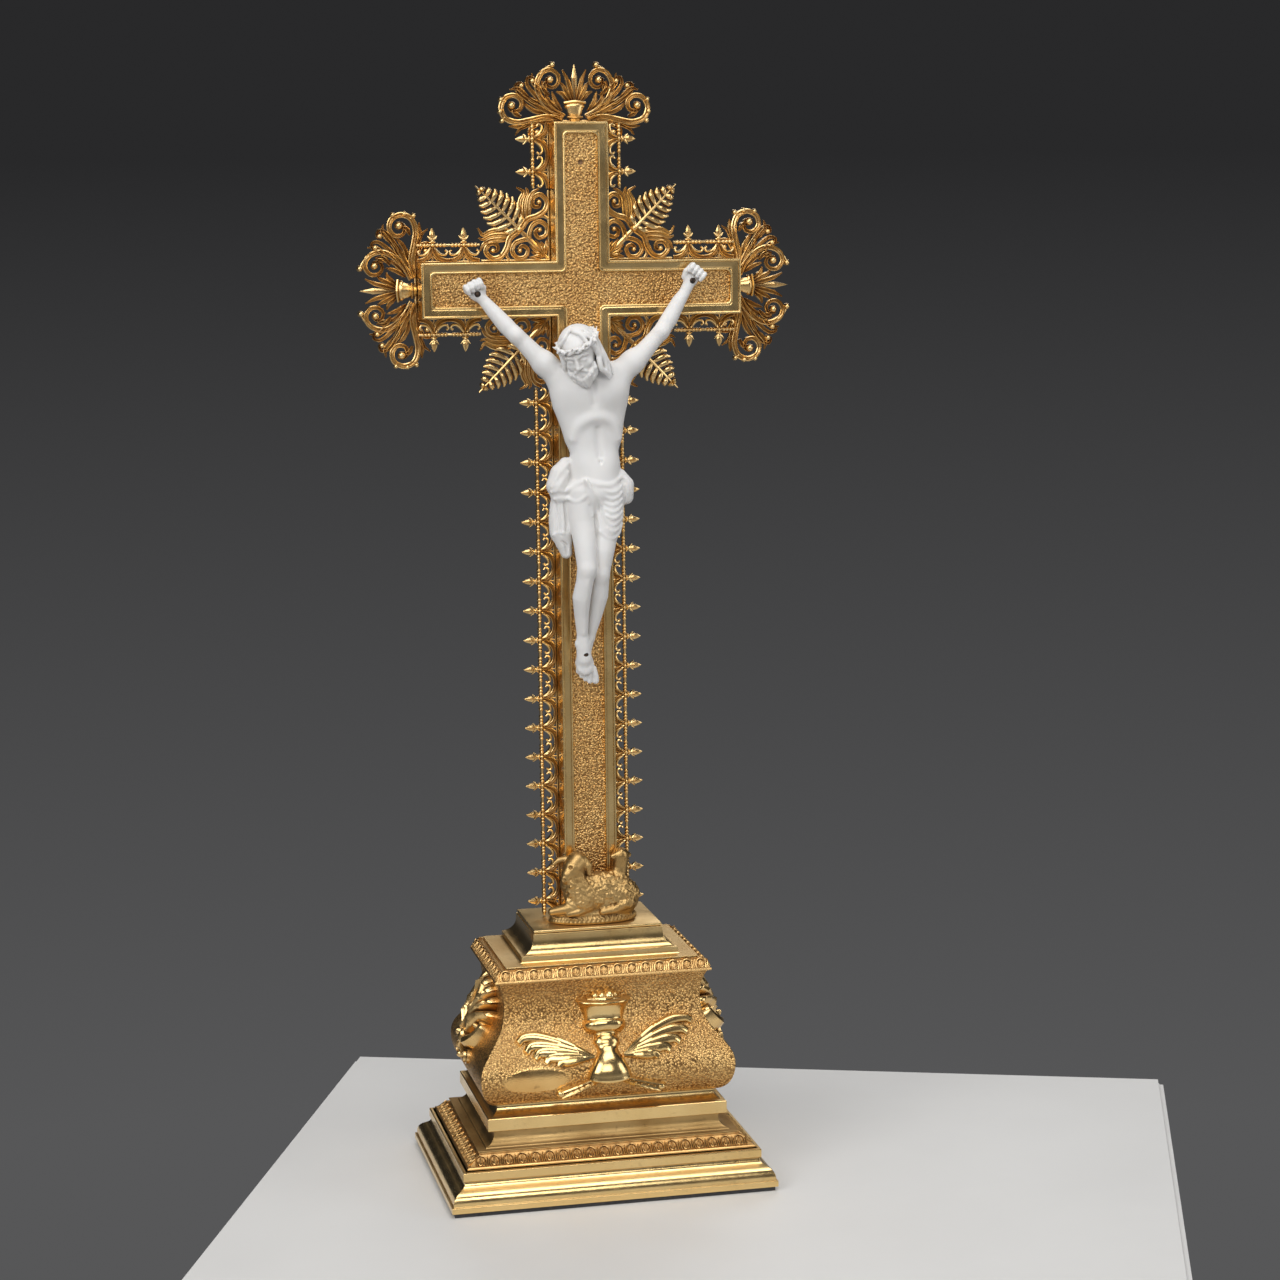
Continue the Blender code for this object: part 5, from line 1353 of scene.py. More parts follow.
add_gallery("gallery_shaft_left", 2, -BAR_HALF, LEFT)
add_gallery("gallery_shaft_right", 2, BAR_HALF, RIGHT)
add_gallery("gallery_head_left", 2, -BAR_HALF, LEFT)
add_gallery("gallery_head_right", 2, BAR_HALF, RIGHT)
for side in ("left", "right"):
    add_gallery(f"gallery_arm_{side}_top", 0, z_arm + BAR_HALF, UP)
    add_gallery(f"gallery_arm_{side}_low", 0, z_arm - BAR_HALF, DOWN)
for height, out in (("top", UP), ("low", DOWN)):
    edge = z_arm + BAR_HALF * out[2]
    set_drawing(f"corner_leaf_{height}_left", corner_leaf(), (-BAR_HALF, edge), LEFT, out)
    set_drawing(f"corner_leaf_{height}_right", corner_leaf(), (BAR_HALF, edge), RIGHT, out)
set_drawing("palmette_top", palmette(), (0.0, z_head), RIGHT, UP)
set_drawing("palmette_left", palmette(), (-arm_half, z_arm), UP, LEFT)
set_drawing("palmette_right", palmette(), (arm_half, z_arm), UP, RIGHT)

# %% [markdown]
# ## Sculpting the figure
# The figure and the lamb are freely modelled forms. Subdivided boxes or metaballs would do, but
# small folds and locks get lost in them. Here limbs and balls are pressed together like clay on a
# fine grid that holds the distance to the surface. Soft joins give muscles, hard ones give folds,
# and a skin is then drawn through the cells where the distance changes sign.

# %% Clay on a grid
def press(old, new, soft):
    """The distance to two shapes that are pressed together over a soft join."""
    near = np.maximum(soft - np.abs(old - new), 0.0) / soft
    return np.minimum(old, new) - near * near * soft / 4


class Clay:
    """A solid pressed together from limbs and balls, in (x, forward, up) millimetres."""

    FAR = 5.0

    def __init__(self, low, high, step):
        self.low = np.array(low, float)
        self.step = step
        self.field = np.full(np.ceil((np.array(high) - low) / step).astype(int) + 1, self.FAR,
                             np.float32)

    def window(self, low, high):
        """The part of the grid near a box, and the coordinates of its points."""
        first = np.floor((np.array(low) - self.FAR - self.low) / self.step).astype(int)
        last = np.ceil((np.array(high) + self.FAR - self.low) / self.step).astype(int) + 1
        first, last = np.clip(first, 0, self.field.shape), np.clip(last, 0, self.field.shape)
        axes = [start + self.step * np.arange(a, b, dtype=np.float32)
                for start, a, b in zip(self.low, first, last)]
        spot = tuple(slice(a, b) for a, b in zip(first, last))
        return spot, np.meshgrid(*axes, indexing="ij", sparse=True)

    def join(self, spot, shape, soft, carve):
        old = self.field[spot]
        self.field[spot] = -press(-old, shape, soft) if carve else press(old, shape, soft)

    def limb(self, points, soft=1.5, carve=False):
        """A limb through points of (x, forward, up, radius)."""
        points = np.asarray(points, float)
        r = points[:, 3:]
        spot, (x, y, z) = self.window((points[:, :3] - r).min(0), (points[:, :3] + r).max(0))
        shape = None
        for a, b in zip(points, points[1:]):
            d = b[:3] - a[:3]
            t = ((x - a[0]) * d[0] + (y - a[1]) * d[1] + (z - a[2]) * d[2]) / max(d @ d, 1e-6)
            t = np.clip(t, 0.0, 1.0)
            away = np.sqrt((x - a[0] - t * d[0]) ** 2 + (y - a[1] - t * d[1]) ** 2
                           + (z - a[2] - t * d[2]) ** 2)
            away -= a[3] + t * (b[3] - a[3])
            shape = away if shape is None else np.minimum(shape, away)
        self.join(spot, shape, soft, carve)

    def ball(self, centre, radii, soft=1.5, carve=False, turn=np.eye(3)):
        """An oval ball. The columns of turn are the directions of its three radii."""
        radii = np.broadcast_to(np.asarray(radii, float), 3)
        reach = np.abs(turn) @ radii
        spot, grid = self.window(np.array(centre) - reach, np.array(centre) + reach)
        rel = [axis - c for axis, c in zip(grid, centre)]
        own = [sum(turn[j][i] * rel[j] for j in range(3)) for i in range(3)]
        whole = np.sqrt(sum((o / r) ** 2 for o, r in zip(own, radii)))
        steep = np.sqrt(sum((o / r ** 2) ** 2 for o, r in zip(own, radii))) + 1e-6
        self.join(spot, whole * (whole - 1) / steep, soft, carve)

    def front(self, x, z):
        """How far forward the clay reaches at some places."""
        i = np.clip(np.round((np.asarray(x) - self.low[0]) / self.step).astype(int), 0,
                    self.field.shape[0] - 1)
        k = np.clip(np.round((np.asarray(z) - self.low[2]) / self.step).astype(int), 0,
                    self.field.shape[2] - 1)
        solid = self.field[i, :, k] < 0
        last = solid.shape[1] - 1 - np.argmax(solid[:, ::-1], axis=1)
        return np.where(solid.any(axis=1), self.low[1] + self.step * last, np.nan)

    def fold(self, points, radius, soft=0.9, sink=0.25, carve=False, gap=1.0):
        """A ridge, or a groove, drawn in (x, up) on the front of the clay."""
        path = through(points, gap)
        t = np.linspace(0, 1, len(path))
        r = np.interp(t, np.linspace(0, 1, np.size(radius)), np.ravel(radius))
        out = self.front(path[:, 0], path[:, 1]) - sink * r
        path, r, out = path[~np.isnan(out)], r[~np.isnan(out)], out[~np.isnan(out)]
        if len(out) < 2:
            return
        out = np.convolve(np.pad(out, 2, "edge"), np.full(5, 0.2), "valid")
        self.limb(np.column_stack((path[:, 0], out, path[:, 1], r)), soft, carve)

    def flatten_back(self, forward):
        y = self.low[1] + self.step * np.arange(self.field.shape[1], dtype=np.float32)
        self.field = np.maximum(self.field, (forward - y)[None, :, None])

    def skin(self):
        """One point in every cell that the surface crosses, and a face across every edge it cuts."""
        f, inside = self.field, self.field < 0
        n = np.array(f.shape) - 1
        corners = np.array([(i, j, k) for i in (0, 1) for j in (0, 1) for k in (0, 1)])
        count = np.zeros(n, np.uint8)
        for i, j, k in corners:
            count += inside[i:n[0] + i, j:n[1] + j, k:n[2] + k]
        cells = np.argwhere((count > 0) & (count < 8))
        number = np.full(n, -1)
        number[tuple(cells.T)] = np.arange(len(cells))
        total, hits = np.zeros((len(cells), 3)), np.zeros((len(cells), 1))
        for a in corners:
            for axis in np.eye(3, dtype=int)[a == 0]:
                fa, fb = f[tuple((cells + a).T)], f[tuple((cells + a + axis).T)]
                cut = (fa < 0) != (fb < 0)
                share = np.where(cut, fa / np.where(cut, fa - fb, 1.0), 0.0)[:, None]
                total += cut[:, None] * (a + share * axis)
                hits += cut[:, None]
        faces = []
        for axis, b, c in ((0, 1, 2), (1, 2, 0), (2, 0, 1)):
            step = np.eye(3, dtype=int)
            here = inside[:n[0], :n[1], :n[2]]
            ahead = inside[step[axis][0]:, step[axis][1]:, step[axis][2]:][:n[0], :n[1], :n[2]]
            edges = np.argwhere(here != ahead)
            edges = edges[(edges[:, b] > 0) & (edges[:, c] > 0)]
            around = (edges, edges - step[b], edges - step[b] - step[c], edges - step[c])
            faces.append(np.stack([number[tuple(cell.T)] for cell in around], axis=1))
        return self.low + self.step * (cells + total / hits), np.vstack(faces)


print("Clay can:", [name for name in vars(Clay) if name[0] != "_"])

# %% [markdown]
# ### Trunk, arms and legs
# The figure hangs from its raised arms. Points are counted from the middle of the arms of the
# cross: across, forward of its face, and up. The chest is drawn up and broad, the belly is sunk
# under the arch of the ribs, and the long legs bend and cross at the feet.

# %% Press the body
body = Clay((-52.0, -0.7, -167.0), (52.0, 28.5, 12.0), 0.36)


def press_trunk():
    body.ball((0.2, 8.5, -44.0), (13.0, 8.0, 14.5), 2.0)
    body.ball((1.6, 8.5, -60.0), (10.7, 7.2, 13.0), 5.0)
    body.ball((2.0, 8.5, -73.0), (10.6, 7.4, 11.0), 4.0)
    body.ball((1.8, 8.8, -83.0), (11.2, 7.8, 9.5), 4.0)
    for side in (-1, 1):
        body.ball((0.2 + 6.0 * side, 11.4, -40.5), (7.2, 4.2, 6.4), 5.0)
        body.limb([(13.4 * side, 8.0, -36.0, 4.0), (11.2 * side + 0.4, 8.0, -47.0, 4.0),
                   (8.0 * side + 1.4, 8.0, -60.0, 3.0)], 5.0)
        body.limb([(1.4 * side - 0.5, 11.6, -32.8, 0.9), (6.0 * side, 11.4, -32.0, 0.8),
                   (11.5 * side, 10.2, -32.4, 0.7)], 3.4)
        body.limb([(2.0 * side - 1.0, 9.0, -33.0, 3.6), (9.0 * side, 8.0, -34.0, 4.0)], 3.5)
    body.limb([(-0.5, 10.0, -34.0, 4.6), (-4.2, 13.0, -28.5, 4.3)], 3.0)
    body.ball((2.2, 19.2, -63.5), (7.6, 3.6, 8.8), 4.5, carve=True)
    arch = [(-8.0, -60.5), (-5.8, -55.6), (-1.8, -52.6), (2.0, -51.8), (5.8, -52.8), (9.2, -55.8),
            (11.2, -60.8)]
    body.fold(arch, (0.2, 0.5, 0.6, 0.5, 0.2), 3.6, 0.8)
    body.fold([(0.2, -37.5), (0.4, -42.0), (0.8, -46.0)], (0.2, 0.4, 0.2), 3.0, -0.7, carve=True)
    body.fold([(2.2, -57.0), (2.6, -63.0), (3.0, -68.0)], (0.2, 0.4, 0.2), 2.8, -0.6, carve=True)
    body.ball((3.2, body.front([3.2], [-70.2])[0] + 0.3, -70.2), (0.6, 0.9, 0.8), 0.9, carve=True)


ARMS = (
    [(-11.5, 8.0, -36.5, 4.8), (-15.0, 8.0, -33.0, 4.8), (-22.4, 8.0, -26.0, 3.9),
     (-27.0, 7.4, -21.0, 3.4), (-30.0, 6.9, -18.2, 3.2),
     (-33.6, 6.0, -14.4, 3.5), (-38.5, 4.8, -8.6, 2.9), (-42.2, 3.8, -4.2, 2.3),
     (-44.6, 3.4, -1.6, 2.4)],
    [(11.5, 8.0, -36.5, 4.8), (15.0, 8.0, -33.0, 4.8), (22.5, 8.0, -26.8, 3.9),
     (27.5, 7.0, -21.6, 3.4), (31.0, 6.4, -18.0, 3.2),
     (34.8, 5.6, -12.8, 3.5), (39.0, 4.6, -5.9, 2.9), (41.9, 3.8, -2.0, 2.3),
     (44.4, 3.4, 2.6, 2.4)],
)
LEGS = (
    [(6.6, 9.0, -84.0, 6.4), (6.4, 10.4, -95.0, 5.6), (4.4, 12.2, -107.0, 4.6),
     (3.0, 12.6, -116.0, 3.8), (2.8, 9.8, -126.0, 3.8),
     (1.6, 7.6, -134.0, 3.0), (-0.6, 5.4, -144.0, 2.2)],
    [(-4.6, 10.4, -83.0, 6.0), (-4.4, 12.0, -95.0, 5.2), (-3.9, 14.8, -105.0, 4.5),
     (-3.5, 16.4, -113.5, 4.0), (-4.4, 15.6, -119.5, 3.6),
     (-5.3, 13.4, -126.0, 3.8), (-5.0, 11.2, -133.0, 3.1), (-4.3, 9.4, -143.0, 2.3),
     (-4.0, 8.8, -147.0, 2.6)],
)


def press_limbs():
    for arm in ARMS:
        body.limb(arm, 2.5)
    for arm, side in zip(ARMS, (-1, 1)):
        body.ball((18.4 * side, 8.2, -30.0), (4.6, 4.4, 4.6), 3.0)
        body.ball(arm[4][:3] + np.array((0.0, 1.6, 0.0)), 2.6, 2.5)
    for leg in LEGS:
        body.limb(leg, 1.0)
    body.ball((-3.6, 17.8, -114.5), (2.9, 2.6, 3.4), 2.0)
    body.ball((3.0, 13.8, -117.0), (2.8, 2.4, 3.2), 2.0)
    body.fold([(-4.0, -119.0), (-4.6, -130.0), (-4.2, -141.0)], (0.5, 0.9, 0.5), 2.0, 0.5)


press_trunk()
press_limbs()
print("Clay grid:", body.field.shape)

# %% [markdown]
# ### Hands and feet
# Each hand half closes round its nail: a palm, four fingers bent forward and a thumb across. The
# front foot lies over the other one, toes down, with the nail through the instep.

# %% Press the hands and the feet
def press_hand(palm, reach, across):
    """A half-closed hand: fingers point along reach, across goes from thumb to little finger."""
    palm, reach, across = (np.array(v, float) for v in (palm, reach, across))
    out = np.array((0.0, 1.0, 0.0))
    turn = np.column_stack((across, out, reach))
    body.ball(palm, (3.1, 2.1, 3.3), 1.5, turn=turn)
    for number in range(4):
        root = palm + across * (2.05 * number - 3.1) + reach * (2.2 - 0.25 * abs(number - 1.3))
        path = [root + out * 0.2, root + reach * 1.9 + out * 1.3, root + reach * 2.0 + out * 3.0,
                root + reach * 0.5 + out * 3.7, root - reach * 0.9 + out * 3.2]
        body.limb([(*p, r) for p, r in zip(path, (1.2, 1.15, 1.05, 1.0, 0.85))], 0.45)
    thumb = [palm - across * 2.4 - reach * 1.8, palm - across * 3.6 + reach * 0.4 + out * 1.2,
             palm - across * 2.4 + reach * 1.6 + out * 2.8]
    body.limb([(*p, r) for p, r in zip(thumb, (1.4, 1.2, 0.9))], 0.6)


TOES = ((0.6, 1.7, -162.4, 1.45), (-1.4, -0.8, -162.6, 1.05), (-2.9, -2.7, -161.6, 1.0),
        (-4.2, -4.3, -160.2, 0.95), (-5.3, -5.7, -158.3, 0.9))


def press_feet():
    body.limb([(-0.6, 5.4, -144.0, 2.2), (-2.2, 4.2, -149.0, 2.8), (-3.4, 3.2, -155.0, 2.9),
               (-3.6, 2.8, -158.5, 2.0)], 1.0)
    body.limb([(-4.2, 9.2, -144.0, 2.4), (-3.9, 8.6, -148.0, 2.9), (-3.4, 7.8, -152.5, 3.2)], 1.0)
    turn = np.column_stack(((0.97, 0.0, -0.24), (0.05, 0.96, 0.27), (0.24, -0.27, 0.93)))
    body.ball((-2.8, 6.8, -155.4), (3.7, 2.3, 4.4), 1.6, turn=turn)
    for start, x, z, r in TOES:
        body.limb([(start, 6.4, -157.2, r), (x, 5.8, z + 1.8, 0.92 * r), (x + 0.1, 5.3, z, r)], 0.5)
    for side in (-1, 1):
        body.ball((-4.1 + 2.1 * side, 8.9, -146.0), (1.3, 1.4, 1.5), 1.0)


press_hand((-45.6, 3.5, -0.6), (-0.42, 0.0, 0.91), (-0.91, 0.0, -0.42))
press_hand((45.0, 3.5, 4.2), (0.62, 0.0, 0.78), (0.78, 0.0, -0.62))
press_feet()
print("Cells of clay with hands and feet:", int((body.field < 0).sum()))

# %% [markdown]
# ### Cloth
# A cloth is wound low round the hips. It is gathered in front, falls in pleats between the thighs
# and lies in curved folds over one of them. Its ends are bunched at both hips, and one hangs down
# beside the leg. The body goes on under it, so the folds can be laid on its front.

# %% Press the cloth
def press_cloth():
    body.ball((1.6, 8.8, -83.0), (11.9, 8.5, 6.4), 1.4)
    body.limb([(6.9, 9.4, -84.0, 7.0), (6.8, 10.6, -93.0, 6.4), (6.2, 11.2, -98.0, 5.7)], 1.0)
    press_hanging_end()
    press_pleats()


def press_hanging_end():
    """The bunch at one hip with the end that hangs down, and the smaller bunch at the other."""
    body.limb([(-10.4, 8.6, -71.0, 2.6), (-12.8, 8.8, -75.0, 4.0), (-14.0, 9.2, -80.0, 4.6),
               (-13.0, 9.2, -84.0, 3.8)], 1.6)
    body.limb([(-12.6, 8.8, -85.0, 3.4), (-12.9, 8.6, -93.0, 4.1), (-12.8, 8.4, -99.0, 4.3),
               (-11.4, 8.2, -104.0, 3.4),
               (-10.4, 8.2, -108.0, 2.4)], 1.6)
    body.limb([(-15.2, 8.0, -88.0, 1.6), (-15.4, 7.8, -95.0, 1.9), (-14.6, 7.6, -101.0, 1.7)], 1.6)
    body.limb([(12.6, 9.0, -76.6, 2.6), (14.8, 8.8, -80.5, 3.5), (14.9, 8.4, -85.5, 3.2)], 1.4)
    for path in ([(-9.8, -71.0), (-13.6, -74.6), (-17.0, -80.0)],
                 [(-9.8, -74.4), (-12.6, -77.6), (-15.4, -82.2)],
                 [(-18.0, -83.0), (-14.8, -81.4), (-10.8, -82.6)],
                 [(-16.8, -85.6), (-13.6, -84.8), (-10.4, -85.6)]):
        body.fold(path, (0.5, 0.9, 0.5), 0.7, 0.35)
    for x0, x1 in ((-15.4, -15.6), (-13.6, -13.4), (-11.6, -11.0)):
        body.fold([(x0, -87.0), (0.5 * (x0 + x1) + 0.4, -93.0), (x1, -100.0)], (0.4, 0.75, 0.4),
                  0.9, -0.15, carve=True)
    body.fold([(-16.4, -100.4), (-13.6, -99.0), (-10.0, -100.8), (-8.8, -103.0)], (0.4, 0.7, 0.4),
              0.8, 0.3)
    body.fold([(-12.8, -103.0), (-11.0, -104.6), (-10.4, -108.4)], (0.4, 0.7, 0.4), 0.7, -0.1,
              carve=True)
    for path in ([(12.0, -76.2), (15.2, -78.8), (17.2, -84.0)],
                 [(12.6, -79.4), (14.8, -82.4), (15.0, -87.6)],
                 [(12.4, -82.6), (13.2, -85.0), (13.4, -88.0)]):
        body.fold(path, (0.4, 0.85, 0.4), 0.7, 0.3)


def press_pleats():
    """Pleats that fall from the gather, and curved folds over one thigh."""
    body.fold([(-10.4, -81.6), (-7.0, -79.6), (-3.4, -78.0), (2.0, -79.4), (7.0, -79.8),
               (11.6, -77.4)], (0.7, 1.0, 1.3, 1.0, 0.8), 1.0, 0.35)
    for x, z, width in ((-2.4, -87.0, 0.8), (-0.8, -92.0, 1.0), (1.0, -97.0, 1.1),
                        (3.0, -98.6, 1.0), (4.8, -94.0, 0.8)):
        body.fold([(-3.4, -77.6), (0.35 * x - 2.4, -82.0), (0.8 * x - 0.6, 0.5 * (z - 82.0)),
                   (x, z)],
                  (0.6, 0.9, width, 0.7 * width), 0.6, 0.25)
    for number in range(7):
        z = -81.4 - 2.6 * number
        body.fold([(4.0 + 0.2 * number, z - 0.4), (7.4, z - 1.4 - 0.1 * number), (10.4, z - 0.6),
                   (12.2, z + 1.0)],
                  (0.4, 0.8, 0.7, 0.3), 0.6, 0.35)
    body.fold([(2.6, -98.8), (5.2, -101.4), (8.4, -101.6), (10.8, -99.4), (11.6, -96.0)], 0.7, 0.7,
              0.45)
    body.fold([(-10.2, -85.0), (-6.8, -86.2), (-3.2, -83.6)], 0.8, 0.8, 0.4)


press_cloth()
print("Cells of clay with the cloth:", int((body.field < 0).sum()))

# %% [markdown]
# ### Head
# The head has its own directions, so it is modelled upright and then bowed, turned and leaned to
# one shoulder. Turning the finished head as one object would work too, but then it could not be
# pressed into the neck with a soft join.

# %% Give the head its own directions
HEAD_PLACE = np.array((-5.0, 16.0, -25.4))
HEAD_SIZE = 1.04
bow, turned, lean = math.radians(24.0), math.radians(-24.0), math.radians(14.0)
ahead = np.array((math.sin(turned) * math.cos(bow), math.cos(turned) * math.cos(bow),
                  -math.sin(bow)))
level = np.array((math.cos(turned), -math.sin(turned), 0.0))
upward = np.array((math.sin(turned) * math.sin(bow), math.cos(turned) * math.sin(bow),
                   math.cos(bow)))
HEAD_TURN = np.column_stack((level * math.cos(lean) + upward * math.sin(lean), ahead,
                             upward * math.cos(lean) - level * math.sin(lean)))


def head_ball(centre, radii, soft=0.8, carve=False):
    place = HEAD_PLACE + HEAD_TURN @ (HEAD_SIZE * np.array(centre, float))
    body.ball(place, HEAD_SIZE * np.broadcast_to(np.array(radii, float), 3), soft, carve, HEAD_TURN)


def head_limb(points, soft=0.5, carve=False):
    points = np.asarray(points, float) * HEAD_SIZE
    body.limb(np.column_stack((HEAD_PLACE + points[:, :3] @ HEAD_TURN.T, points[:, 3])), soft,
              carve)


print("The head looks along:", np.round(HEAD_TURN[:, 1], 2))

# %% [markdown]
# The face is a plain ideal one on the usual proportions: eyes half way down, the nose and the
# mouth in thirds below. The lids are closed and the look is calm. A short beard is made of waved
# tufts in two rows, each tuft a thinning limb.

# %% Press the face and the beard
def press_face():
    head_ball((0.0, 0.0, 2.0), (6.4, 7.6, 7.4), 2.0)
    head_ball((0.0, 2.6, -4.6), (4.7, 4.8, 5.2), 3.0)
    for side in (-1, 1):
        head_ball((2.7 * side, 8.4, -0.2), (1.7, 1.5, 1.2), 1.2, carve=True)
        head_ball((2.6 * side, 6.5, -0.3), (1.5, 0.9, 0.9), 0.5)
        head_limb([(1.0 * side, 7.3, 1.3, 0.6), (2.8 * side, 7.2, 1.9, 0.65),
                   (4.6 * side, 5.8, 1.2, 0.5)], 0.9)
        head_ball((3.5 * side, 5.4, -2.4), (1.8, 1.5, 1.6), 1.6)
        head_ball((0.95 * side, 7.7, -3.0), (0.7, 0.7, 0.6), 0.5)
        head_limb([(1.3 * side, 6.1, -0.75, 0.28), (2.6 * side, 6.9, -0.95, 0.3),
                   (3.9 * side, 6.0, -0.7, 0.28)], 0.3)
    head_limb([(0.0, 7.3, 1.2, 0.75), (0.0, 8.2, -1.2, 0.8), (0.0, 8.9, -2.7, 0.95)], 0.8)
    head_limb([(-1.7, 6.6, -4.9, 0.35), (-0.5, 7.2, -4.9, 0.45), (0.5, 7.2, -4.9, 0.45),
               (1.7, 6.6, -4.9, 0.35)], 0.4)
    head_limb([(-1.4, 6.6, -5.8, 0.4), (0.0, 7.2, -6.0, 0.6), (1.4, 6.6, -5.8, 0.4)], 0.4)


def press_beard():
    rng = np.random.default_rng(3)
    head_ball((0.0, 4.4, -7.8), (4.3, 3.4, 3.4), 1.4)
    for side in (-1, 1):
        head_limb([(0.4 * side, 7.4, -4.2, 0.5), (2.2 * side, 6.9, -5.0, 0.7),
                   (3.6 * side, 5.8, -7.2, 0.5)], 0.35)
        for row in range(2):
            for number in range(6):
                x = (0.5 + 0.95 * number) * side
                forward = 6.9 - 0.16 * number ** 1.7 - 0.5 * row
                z = -6.8 - 1.7 * row + 0.62 * number
                wave = rng.uniform(-0.6, 0.6)
                head_limb([(x, forward - 0.5, z, 0.7), (x + wave, forward + 0.6, z - 1.6, 0.85),
                           (0.9 * x + 0.5 * wave, forward + 0.3, z - 3.0, 0.75),
                           (0.8 * x - 0.5 * wave, forward - 0.2, z - 4.0, 0.35)], 0.25)


press_face()
press_beard()
print("Cells of clay with the face:", int((body.field < 0).sum()))

# %% [markdown]
# Wavy hair is parted in the middle and falls in long locks. A plaited crown of thorns goes round
# it: two strands that twist about each other, with short thorns at seeded angles.

# %% Press the hair and the crown
LOCK_ENDS = ((-1.4, 1.1), (-4.4, 1.15), (-7.4, 1.05), (-10.2, 0.9), (-12.6, 0.45))


def press_hair():
    rng = np.random.default_rng(11)
    head_ball((0.0, -1.4, 2.4), (6.9, 7.4, 7.4), 0.8)
    for side in (-1, 1):
        for number in range(12):
            start = math.radians(20 + 14 * number)
            rest = math.radians(66 + 10 * number) if number < 11 else start
            phase = rng.uniform(0, 2 * math.pi)
            lock = []
            for step, fall in enumerate((8, 22, 38, 54, 70, 88)):
                turn, tilt = start + (rest - start) * (step / 5) ** 0.8, math.radians(fall)
                sway = 0.11 * math.sin(1.7 * step + phase)
                lock.append((side * 7.5 * math.sin(tilt) * math.sin(turn + sway),
                             8.4 * math.sin(tilt) * math.cos(turn + sway) - 0.8,
                             2.2 + 8.2 * math.cos(tilt), 0.85))
            for step, (drop, r) in enumerate(LOCK_ENDS):
                sway = 0.13 * math.sin(1.7 * (step + 6) + phase)
                lock.append((side * (7.7 + 0.3 * step) * math.sin(rest + sway),
                             (8.0 + 0.2 * step) * math.cos(rest + sway) - 0.8, drop, r))
            head_limb(through(lock, 0.9), 0.15)


def press_crown():
    rng = np.random.default_rng(5)
    for strand in (0, 1):
        turn = np.linspace(0, 2 * math.pi, 49)
        twist = 7 * turn + math.pi * strand
        ring = np.column_stack(((8.0 + 0.5 * np.cos(twist)) * np.sin(turn),
                                (8.8 + 0.5 * np.cos(twist)) * np.cos(turn) - 0.6,
                                4.9 + 0.8 * np.sin(twist) - 0.5 * np.cos(turn), np.full(49, 0.6)))
        head_limb(ring, 0.25)
    for angle in np.linspace(0, 2 * math.pi, 22, endpoint=False):
        lift = rng.uniform(-1.3, 1.6)
        sweep = angle + rng.uniform(-0.16, 0.16)
        root = (8.2 * math.sin(angle), 8.9 * math.cos(angle) - 0.6, 4.9)
        tip = (9.5 * math.sin(sweep), 10.3 * math.cos(sweep) - 0.6, 5.4 + lift)
        head_limb([(*root, 0.5), (*tip, 0.24)], 0.2)


press_hair()
press_crown()
print("Cells of clay with the hair:", int((body.field < 0).sum()))

# %% [markdown]
# The figure is flattened behind, where it lies close to the cross, before it gets its skin.

# %% Skin the figure and set it on the cross
BACK_CLEAR = 0.3


def add_figure():
    body.flatten_back(BACK_CLEAR)
    verts, faces = body.skin()
    spot = np.column_stack((verts[:, 0], y_face - verts[:, 1], z_arm + verts[:, 2]))
    add_piece("corpus", spot, faces, "biscuit", sharp=180.0)


add_figure()

# %% [markdown]
# ### Nails
# Three hand-made nails hold the figure. Their heads are low domes with a few hammered facets, so
# each ring of the turned form is nudged by a seeded amount.

# %% Make the nails
def add_nail(node, seed):
    low, high = span(node)
    x, z = (low[0] + high[0]) / 2, (low[2] + high[2]) / 2
    r = 0.86 * (high[0] - low[0]) / 2
    rng = np.random.default_rng(seed)
    facets = 1 + 0.10 * rng.uniform(-1, 0.3, 10)
    rows = [(0.0, 0.35), (0.15, 0.7), (0.5, 0.94), (0.95, 1.0), (1.2, 0.9), (1.35, 0.42),
            (3.0, 0.42)]
    rows += [(high[1] - low[1] - 1.2, 0.36), (high[1] - low[1], 0.05)]
    around = np.linspace(0, 2 * math.pi, 10, endpoint=False)
    verts = [(x + r * share * f * math.cos(a), low[1] + depth, z + r * share * f * math.sin(a))
             for depth, share in rows for f, a in zip(facets, around)]
    faces = [(10 * i + k, 10 * i + (k + 1) % 10, 10 * i + 10 + (k + 1) % 10, 10 * i + 10 + k)
             for i in range(len(rows) - 1) for k in range(10)]
    faces += [tuple(range(10)), tuple(range(len(verts) - 10, len(verts)))]
    add_piece(node, verts, faces, "dark_iron", sharp=50.0)


for seed, node in enumerate(("hand_nail_left", "hand_nail_right", "foot_nail")):
    add_nail(node, seed)

# %% [markdown]
# ## Lamb
# A gilt lamb lies on a half-round mound at the foot of the cross, its head up and turned to the
# left. It is cast, so its forms are soft. The mound is edged with small blades of grass.

# %% Press the lamb
lamb_low, lamb_high = span("lamb")
lamb = Clay((-24.0, -0.9, -1.5), (24.0, 13.5, 36.0), 0.3)


def press_mound():
    half, deep = lamb_high[0] - 0.6, 9.6
    lap = np.linspace(0, math.pi, 40)
    for up, share, r in ((0.9, 1.0, 1.0), (2.4, 0.955, 1.1), (4.2, 0.98, 0.75)):
        lamb.limb(np.column_stack(((half - 1.0) * share * np.cos(lap),
                                   (deep - 1.0) * share * np.sin(lap),
                                   np.full(40, up), np.full(40, r))), 0.4)
    lamb.ball((0.0, 0.0, 2.0), (half * 0.93, deep * 0.93, 4.0), 0.8)
    for number, a in enumerate(np.linspace(0.25, 2.9, 26)):
        x, y = half * 0.97 * math.cos(a), deep * 0.97 * math.sin(a)
        tall = 3.4 + 0.5 * math.sin(5.1 * number)
        lamb.limb([(x, y, 0.9, 0.55), (x + 0.5, y + 0.1, 2.2, 0.5),
                   (x + 0.9 * math.sin(number), y - 0.1, tall, 0.2)], 0.3)


